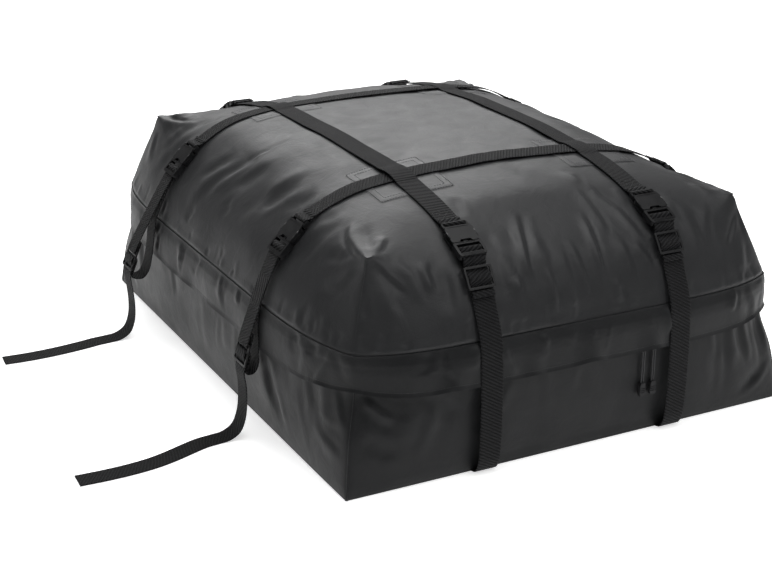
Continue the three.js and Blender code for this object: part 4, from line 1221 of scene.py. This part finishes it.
def prism(points, low, high):
    """Closed slab over an outline of (s, w) points, as a temporary object in metres."""
    bm = bmesh.new()
    low_ring, high_ring = ([bm.verts.new(np.array((s, w, n)) / 1000) for s, w in points] for n in (low, high))
    for i in range(len(points)):
        k = (i + 1) % len(points)
        bm.faces.new((low_ring[i], low_ring[k], high_ring[k], high_ring[i]))
    bm.faces.new(high_ring)
    bm.faces.new(low_ring[::-1])
    bmesh.ops.recalc_face_normals(bm, faces=bm.faces)
    mesh = bpy.data.meshes.new("slab")
    bm.to_mesh(mesh)
    bm.free()
    return add_object("slab", mesh)


def both_halves(points):
    return list(points) + [(s, -w) for s, w in reversed(points)]


def box(s0, s1, w0, w1, n0, n1):
    return prism([(s0, w0), (s1, w0), (s1, w1), (s0, w1)], n0, n1)


def combine(base, others, operation):
    for other in others:
        modifier = base.modifiers.new("cut", "BOOLEAN")
        modifier.operation = operation
        modifier.solver = "EXACT"
        modifier.object = other
        apply_modifiers(base)
        bpy.data.objects.remove(other)


def rounded(points, radius, count=5):
    """An outline with each of its corners rounded."""
    total, points = [], np.array(points, float)
    for before, c, after in zip(np.roll(points, 1, 0), points, np.roll(points, -1, 0)):
        start, end = (c + unit(other - c) * radius for other in (before, after))
        total += [(1 - t) ** 2 * start + 2 * t * (1 - t) * c + t * t * end for t in np.linspace(0, 1, count)]
    return total


def bar(s0, s1, half_width, radius, low, high, count=5):
    """Slab with rounded corners."""
    corners = [(s0, -half_width), (s1, -half_width), (s1, half_width), (s0, half_width)]
    return prism(rounded(corners, radius, count), low, high)


def soften(obj, name, material, width, segments=3):
    """Finishes a moulding: bevelled edges with even shading, its name and its material."""
    modifier = obj.modifiers.new("edges", "BEVEL")
    modifier.width = width / 1000
    modifier.segments = segments
    modifier.limit_method = "ANGLE"
    modifier.angle_limit = math.radians(38)
    modifier.use_clamp_overlap = True
    apply_modifiers(obj)
    edit_mesh(obj, lambda bm: bmesh.ops.triangulate(bm, faces=[f for f in bm.faces if len(f.verts) > 4]))
    obj.data.polygons.foreach_set("use_smooth", [True] * len(obj.data.polygons))
    weighted = obj.modifiers.new("normals", "WEIGHTED_NORMAL")
    weighted.weight = 100
    weighted.keep_sharp = True
    apply_modifiers(obj)
    obj.name = name
    obj.data.materials.clear()
    obj.data.materials.append(material)
    return obj


def lay(obj, down, across, out, centre):
    """Turns a moulding so that its s, w and n axes point along three directions, round a centre."""
    obj.matrix_world = Matrix.Translation(centre) @ Matrix((down, across, out)).transposed().to_4x4()


HALF, NECK, SLOT = 25.5, 23.6, 20.8


def female_mesh():
    """Housing: bar and neck, shoulders, open sides that show the arms, notched mouth."""
    half = [(9, 21.6), (10.2, 23.0), (14, NECK), (15.5, 24.4), (17.2, HALF), (30, HALF), (43, HALF),
            (45.2, 24.4), (46, 22.8)]
    shell = prism(both_halves(half), -6, 6)
    combine(shell, [bar(0, 12, NECK, 2.2, -3, 3)], "UNION")
    slot = bar(3.5, 10.5, SLOT, 1.2, -8, 8)
    relief = [box(-1, 10.5, -SLOT, SLOT, 2.4, 8), box(-1, 10.5, -SLOT, SLOT, -8, -2.4)]
    hollow = box(13, 47, -HALF - 1, HALF + 1, -4, 4)
    notch = prism(both_halves([(41.5, 8.0), (43.0, 9.8), (47, 12.5)]), 3, 12)
    waist = [(22, 30), (22, 22.6), (38, 22.6), (38, 30)]
    waist = [prism(rounded([(a, s * b) for a, b in waist], 5.0, 7), 4.0, 12) for s in (-1, 1)]
    step = box(13.2, 15.0, -19, 19, 5.45, 12)
    combine(shell, [slot, *relief, hollow, notch, *waist, step], "DIFFERENCE")
    return soften(shell, "socket", NYLON, 0.8)


def male_mesh():
    """Plug: two sprung arms and a guide tongue, a body, ladder bars for the webbing."""
    half = [(46.4, 23.6), (48, 25.2), (52, HALF), (70, HALF), (73.5, 24.6), (75.6, 22.6), (76, 21)]
    rails = prism(both_halves(half), -5, 5)
    combine(rails, [box(51, 77, -SLOT, SLOT, -8, 8)], "DIFFERENCE")
    first_bar = box(57, 62.5, -SLOT - 1, SLOT + 1, -2, 2)
    end_bar = prism(both_halves([(69.5, SLOT + 1), (76, SLOT + 1)]), 1.5, 5)
    tongue = prism(both_halves([(18, 1.2), (19.5, 2.9), (22, 3.5), (47.4, 3.5)]), -3.4, 3.4)
    arm = [(47.4, 16.2), (36, 18.0), (28, 19.2), (22.5, 18.6), (18.2, 18.3), (16.3, 19.6), (16.2, 21.8),
           (18, 24.0), (22, 25.0), (26, 24.9), (30, 22.9), (38, 21.6), (47.4, 21)]
    arms = [prism([(a, s * b) for a, b in arm], -3.4, 3.4) for s in (-1, 1)]
    combine(rails, [first_bar, end_bar, tongue, *arms], "UNION")
    ridges = [box(71.0 + k * 1.7, 71.8 + k * 1.7, -19, 19, 4.5, 12) for k in range(3)]
    combine(rails, [*ridges, bar(47.6, 50.2, 15, 1.0, 4.4, 12)], "DIFFERENCE")
    return soften(rails, "plug", NYLON, 0.7)


def glide_mesh():
    """Three-bar slide with a ribbed middle bar."""
    plate = bar(0, 38.5, 25, 4.5, -1.6, 1.6, 7)
    combine(plate, [bar(4.5, 17, SLOT, 1.4, -5, 5), bar(23, 34, SLOT, 1.4, -5, 5)], "DIFFERENCE")
    return soften(plate, "slide", NYLON, 0.75)


def hardware_piece(name, source, node, place, tilt, body):
    """A copy of the moulding, laid on its strap at the CAD node's place."""
    outward, a = PLANES[place].outward, math.radians(tilt)
    down, out = outward * math.cos(a) - UP * math.sin(a), outward * math.sin(a) + UP * math.cos(a)
    axes = down, np.cross(out, down), out
    coordinates = np.zeros(len(source.data.vertices) * 3)
    source.data.vertices.foreach_get("co", coordinates)
    turned = coordinates.reshape(-1, 3) @ np.array(axes)
    centre = sum(np.array(corner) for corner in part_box(node)) / 2 - (turned.min(0) + turned.max(0)) / 2
    piece = add_object(name, source.data)
    lay(piece, *axes, Vector(centre))
    return ride(piece, body, "buckle_plastic", node)


female_source, male_source, glide_source = female_mesh(), male_mesh(), glide_mesh()
GLIDE_TILTS = {"left_front": NEAR_GLIDE_TILT, "right_rear": NEAR_GLIDE_TILT,
               "left_rear": FAR_GLIDE_TILT, "right_front": FAR_GLIDE_TILT}
for place in PLANES:
    tilt, clip = FRONT_TILT if place.startswith(("front", "rear")) else SIDE_TILT, f"clip_{place}"
    hardware_piece(f"buckle_socket_{place}", female_source, f"female_{place}", place, tilt, "lid_cover")
    hardware_piece(f"buckle_plug_{place}", male_source, f"male_{place}", place, tilt, clip)
    tilt = GLIDE_TILTS.get(place, FRONT_GLIDE_TILT)
    hardware_piece(f"slide_bar_{place}", glide_source, f"tri_glide_{place}", place, tilt, clip)
for source in (female_source, male_source, glide_source):
    bpy.data.objects.remove(source)

# ---------- zip, behind the flap ----------


def tape(name, low_z, high_z, body, node):
    """Woven zip tape along three sides."""
    columns = 400
    u = np.linspace(0.015, 2.985, columns)
    levels = np.linspace(low_z, high_z, 5)
    points = np.stack([band(u, np.full(columns, z), 0.0016) for z in levels])
    uv = np.stack(np.broadcast_arrays(levels[:, None], travel(points[0])), -1)
    ride(sheet_object(name, points, TAPE, 0.0010, 0.0, uv.reshape(-1, 2)), body, "zip_tape", node)


def zip_teeth(name, z, tilt, body):
    """Coil of one half of the zip: a bead with a tooth every 2.4 mm."""
    u = np.linspace(0.02, 2.98, 3000)
    line = band(u, np.full(len(u), z), 0.0022)
    length = travel(line)
    at = np.arange(0.003, length[-1] - 0.003, 0.0024)
    centres = at_length(line, length, at)
    ahead = unit(at_length(line, length, at + 0.0008) - centres)
    out = np.cross(ahead, UP)
    section = [(-0.0010, -0.0004), (-0.0006, 0.0007), (0.0006, 0.0007), (0.0010, -0.0004)]
    corners = [centres + shift * ahead + height * UP + (thick + 0.0002 * tilt) * out
               for shift in (-0.0008, 0.0008) for height, thick in section]
    vertices = np.stack(corners, axis=1).reshape(-1, 3)
    tooth = [(i, (i + 1) % 4, (i + 1) % 4 + 4, i + 4) for i in range(4)] + [(3, 2, 1, 0), (4, 5, 6, 7)]
    faces = [tuple(8 * k + i for i in face) for k in range(len(at)) for face in tooth]
    ride(mesh_object(name, vertices, faces, NYLON, smooth=False), body, "zip_tape")


tape("tape_lower", ZIP_Z - ZIP_GAP - 0.013, ZIP_Z - 0.0006, "tub", "zip_tape_lower")
tape("tape_upper", ZIP_Z + 0.0006, ZIP_Z + ZIP_GAP + 0.013, "lid_cover", "zip_tape_upper")
zip_teeth("zip_coil_lower", ZIP_Z - 0.0012, 1, "tub")
zip_teeth("zip_coil_upper", ZIP_Z + 0.0012, 0, "lid_cover")


def slider(side):
    """Slider with a bridge, over the closed zip."""
    low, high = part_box(f"zip_slider_{side}")
    w, n, h = (high - low) * 500
    edge = [(-h, -w * 0.72), (h * 0.2, -w), (h, -w * 0.8), (h, w * 0.8), (h * 0.2, w), (-h, w * 0.72)]
    plate = prism(rounded(edge, 2.4), -n, n * 0.6)
    combine(plate, [bar(-h * 0.75, h * 0.75, 1.6, 1.2, 0, n)], "UNION")
    combine(plate, [box(-h * 0.4, h * 0.4, -3, 3, n * 0.62, n * 0.85)], "DIFFERENCE")
    piece = soften(plate, f"zip_slider_body_{side}", METAL, 0.4, 2)
    lay(piece, (0, 0, 1), (1, 0, 0), (0, -1, 0), (low + high) / 2)
    ride(piece, f"zip_runner_{side}", "slider_metal", f"zip_slider_{side}")


def pull(side):
    """Doubled thin cord with a moulded tip."""
    low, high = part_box(f"zip_pull_{side}")
    x, y = (low.x + high.x) / 2, (low.y + high.y) / 2
    top, tip_top = high.z - 0.0015, low.z + 0.024
    half = 0.0019
    path = [(-half, tip_top - 0.003)] + [(-half, z) for z in np.linspace(tip_top, top - 0.004, 14)]
    bend = np.linspace(0.3, math.pi - 0.3, 9)
    path += [(-half * math.cos(a), top - 0.004 + 0.0022 * math.sin(a)) for a in bend]
    path += [(half, z) for z in np.linspace(top - 0.004, tip_top, 14)] + [(half, tip_top - 0.003)]
    body, node = f"zip_runner_{side}", f"zip_pull_{side}"
    path = [(x + a, y, z) for a, z in path]
    cord = tube(f"pull_cord_{side}", path, 0.00145, CORD, body, "zip_pull", nodes=[node])
    edge = [(12, -4.6), (11, -5.8), (7, -6.2), (-3, -5.4), (-10, -4.8), (-12, -3.2)]
    tip = prism(rounded(edge[::-1] + [(s, -w) for s, w in edge], 1.0, 3), -3.3, 3.3)
    grooves = [box(a, a + 1.3, -9, 9, *depth) for depth in ((2.2, 6), (-6, -2.2)) for a in (-3.0, 0.5, 4.0)]
    combine(tip, grooves, "DIFFERENCE")
    soften(tip, f"pull_grip_{side}", RUBBER, 0.8)
    lay(tip, (0, 0, -1), (1, 0, 0), (0, -1, 0), (x, y, low.z + 0.012))
    ride(tip, body, "zip_pull")


for side in ("left", "right"):
    slider(side)
    pull(side)

# ---------- floor, light ----------

WORLD_LIGHT = 0.18


def stage():
    """Pale floor, even world light and plain colours."""
    corners = [(x, y, -0.0002) for x, y in ((-30, -30), (30, -30), (30, 30), (-30, 30))]
    mesh_object("floor", corners, [(0, 1, 2, 3)], ground_material(), smooth=False)
    world = bpy.data.worlds.new("studio")
    world.use_nodes = True
    background = world.node_tree.nodes["Background"]
    background.inputs["Color"].default_value = (1, 1, 1, 1)
    background.inputs["Strength"].default_value = WORLD_LIGHT
    scene.world = world
    scene.view_settings.view_transform = "Standard"
    scene.view_settings.look = "None"


def softbox(name, place, aim, size, power):
    data = bpy.data.lights.new(name, "AREA")
    data.shape = "RECTANGLE"
    data.size, data.size_y = size
    data.energy = power
    light = add_object(name, data)
    light.location = place
    light.rotation_euler = (Vector(aim) - Vector(place)).to_track_quat("-Z", "Y").to_euler()


stage()
softbox("top_light", (1.1, 3.4, 2.4), (0, 0, 0.35), (3.2, 1.6), 86)
softbox("overhead_light", (-0.1, 0.1, 2.8), (0, 0.1, 0.35), (3.0, 2.2), 86)
softbox("front_light", (1.2, -2.6, 3.0), (0, -0.3, 0.3), (1.6, 1.2), 34)
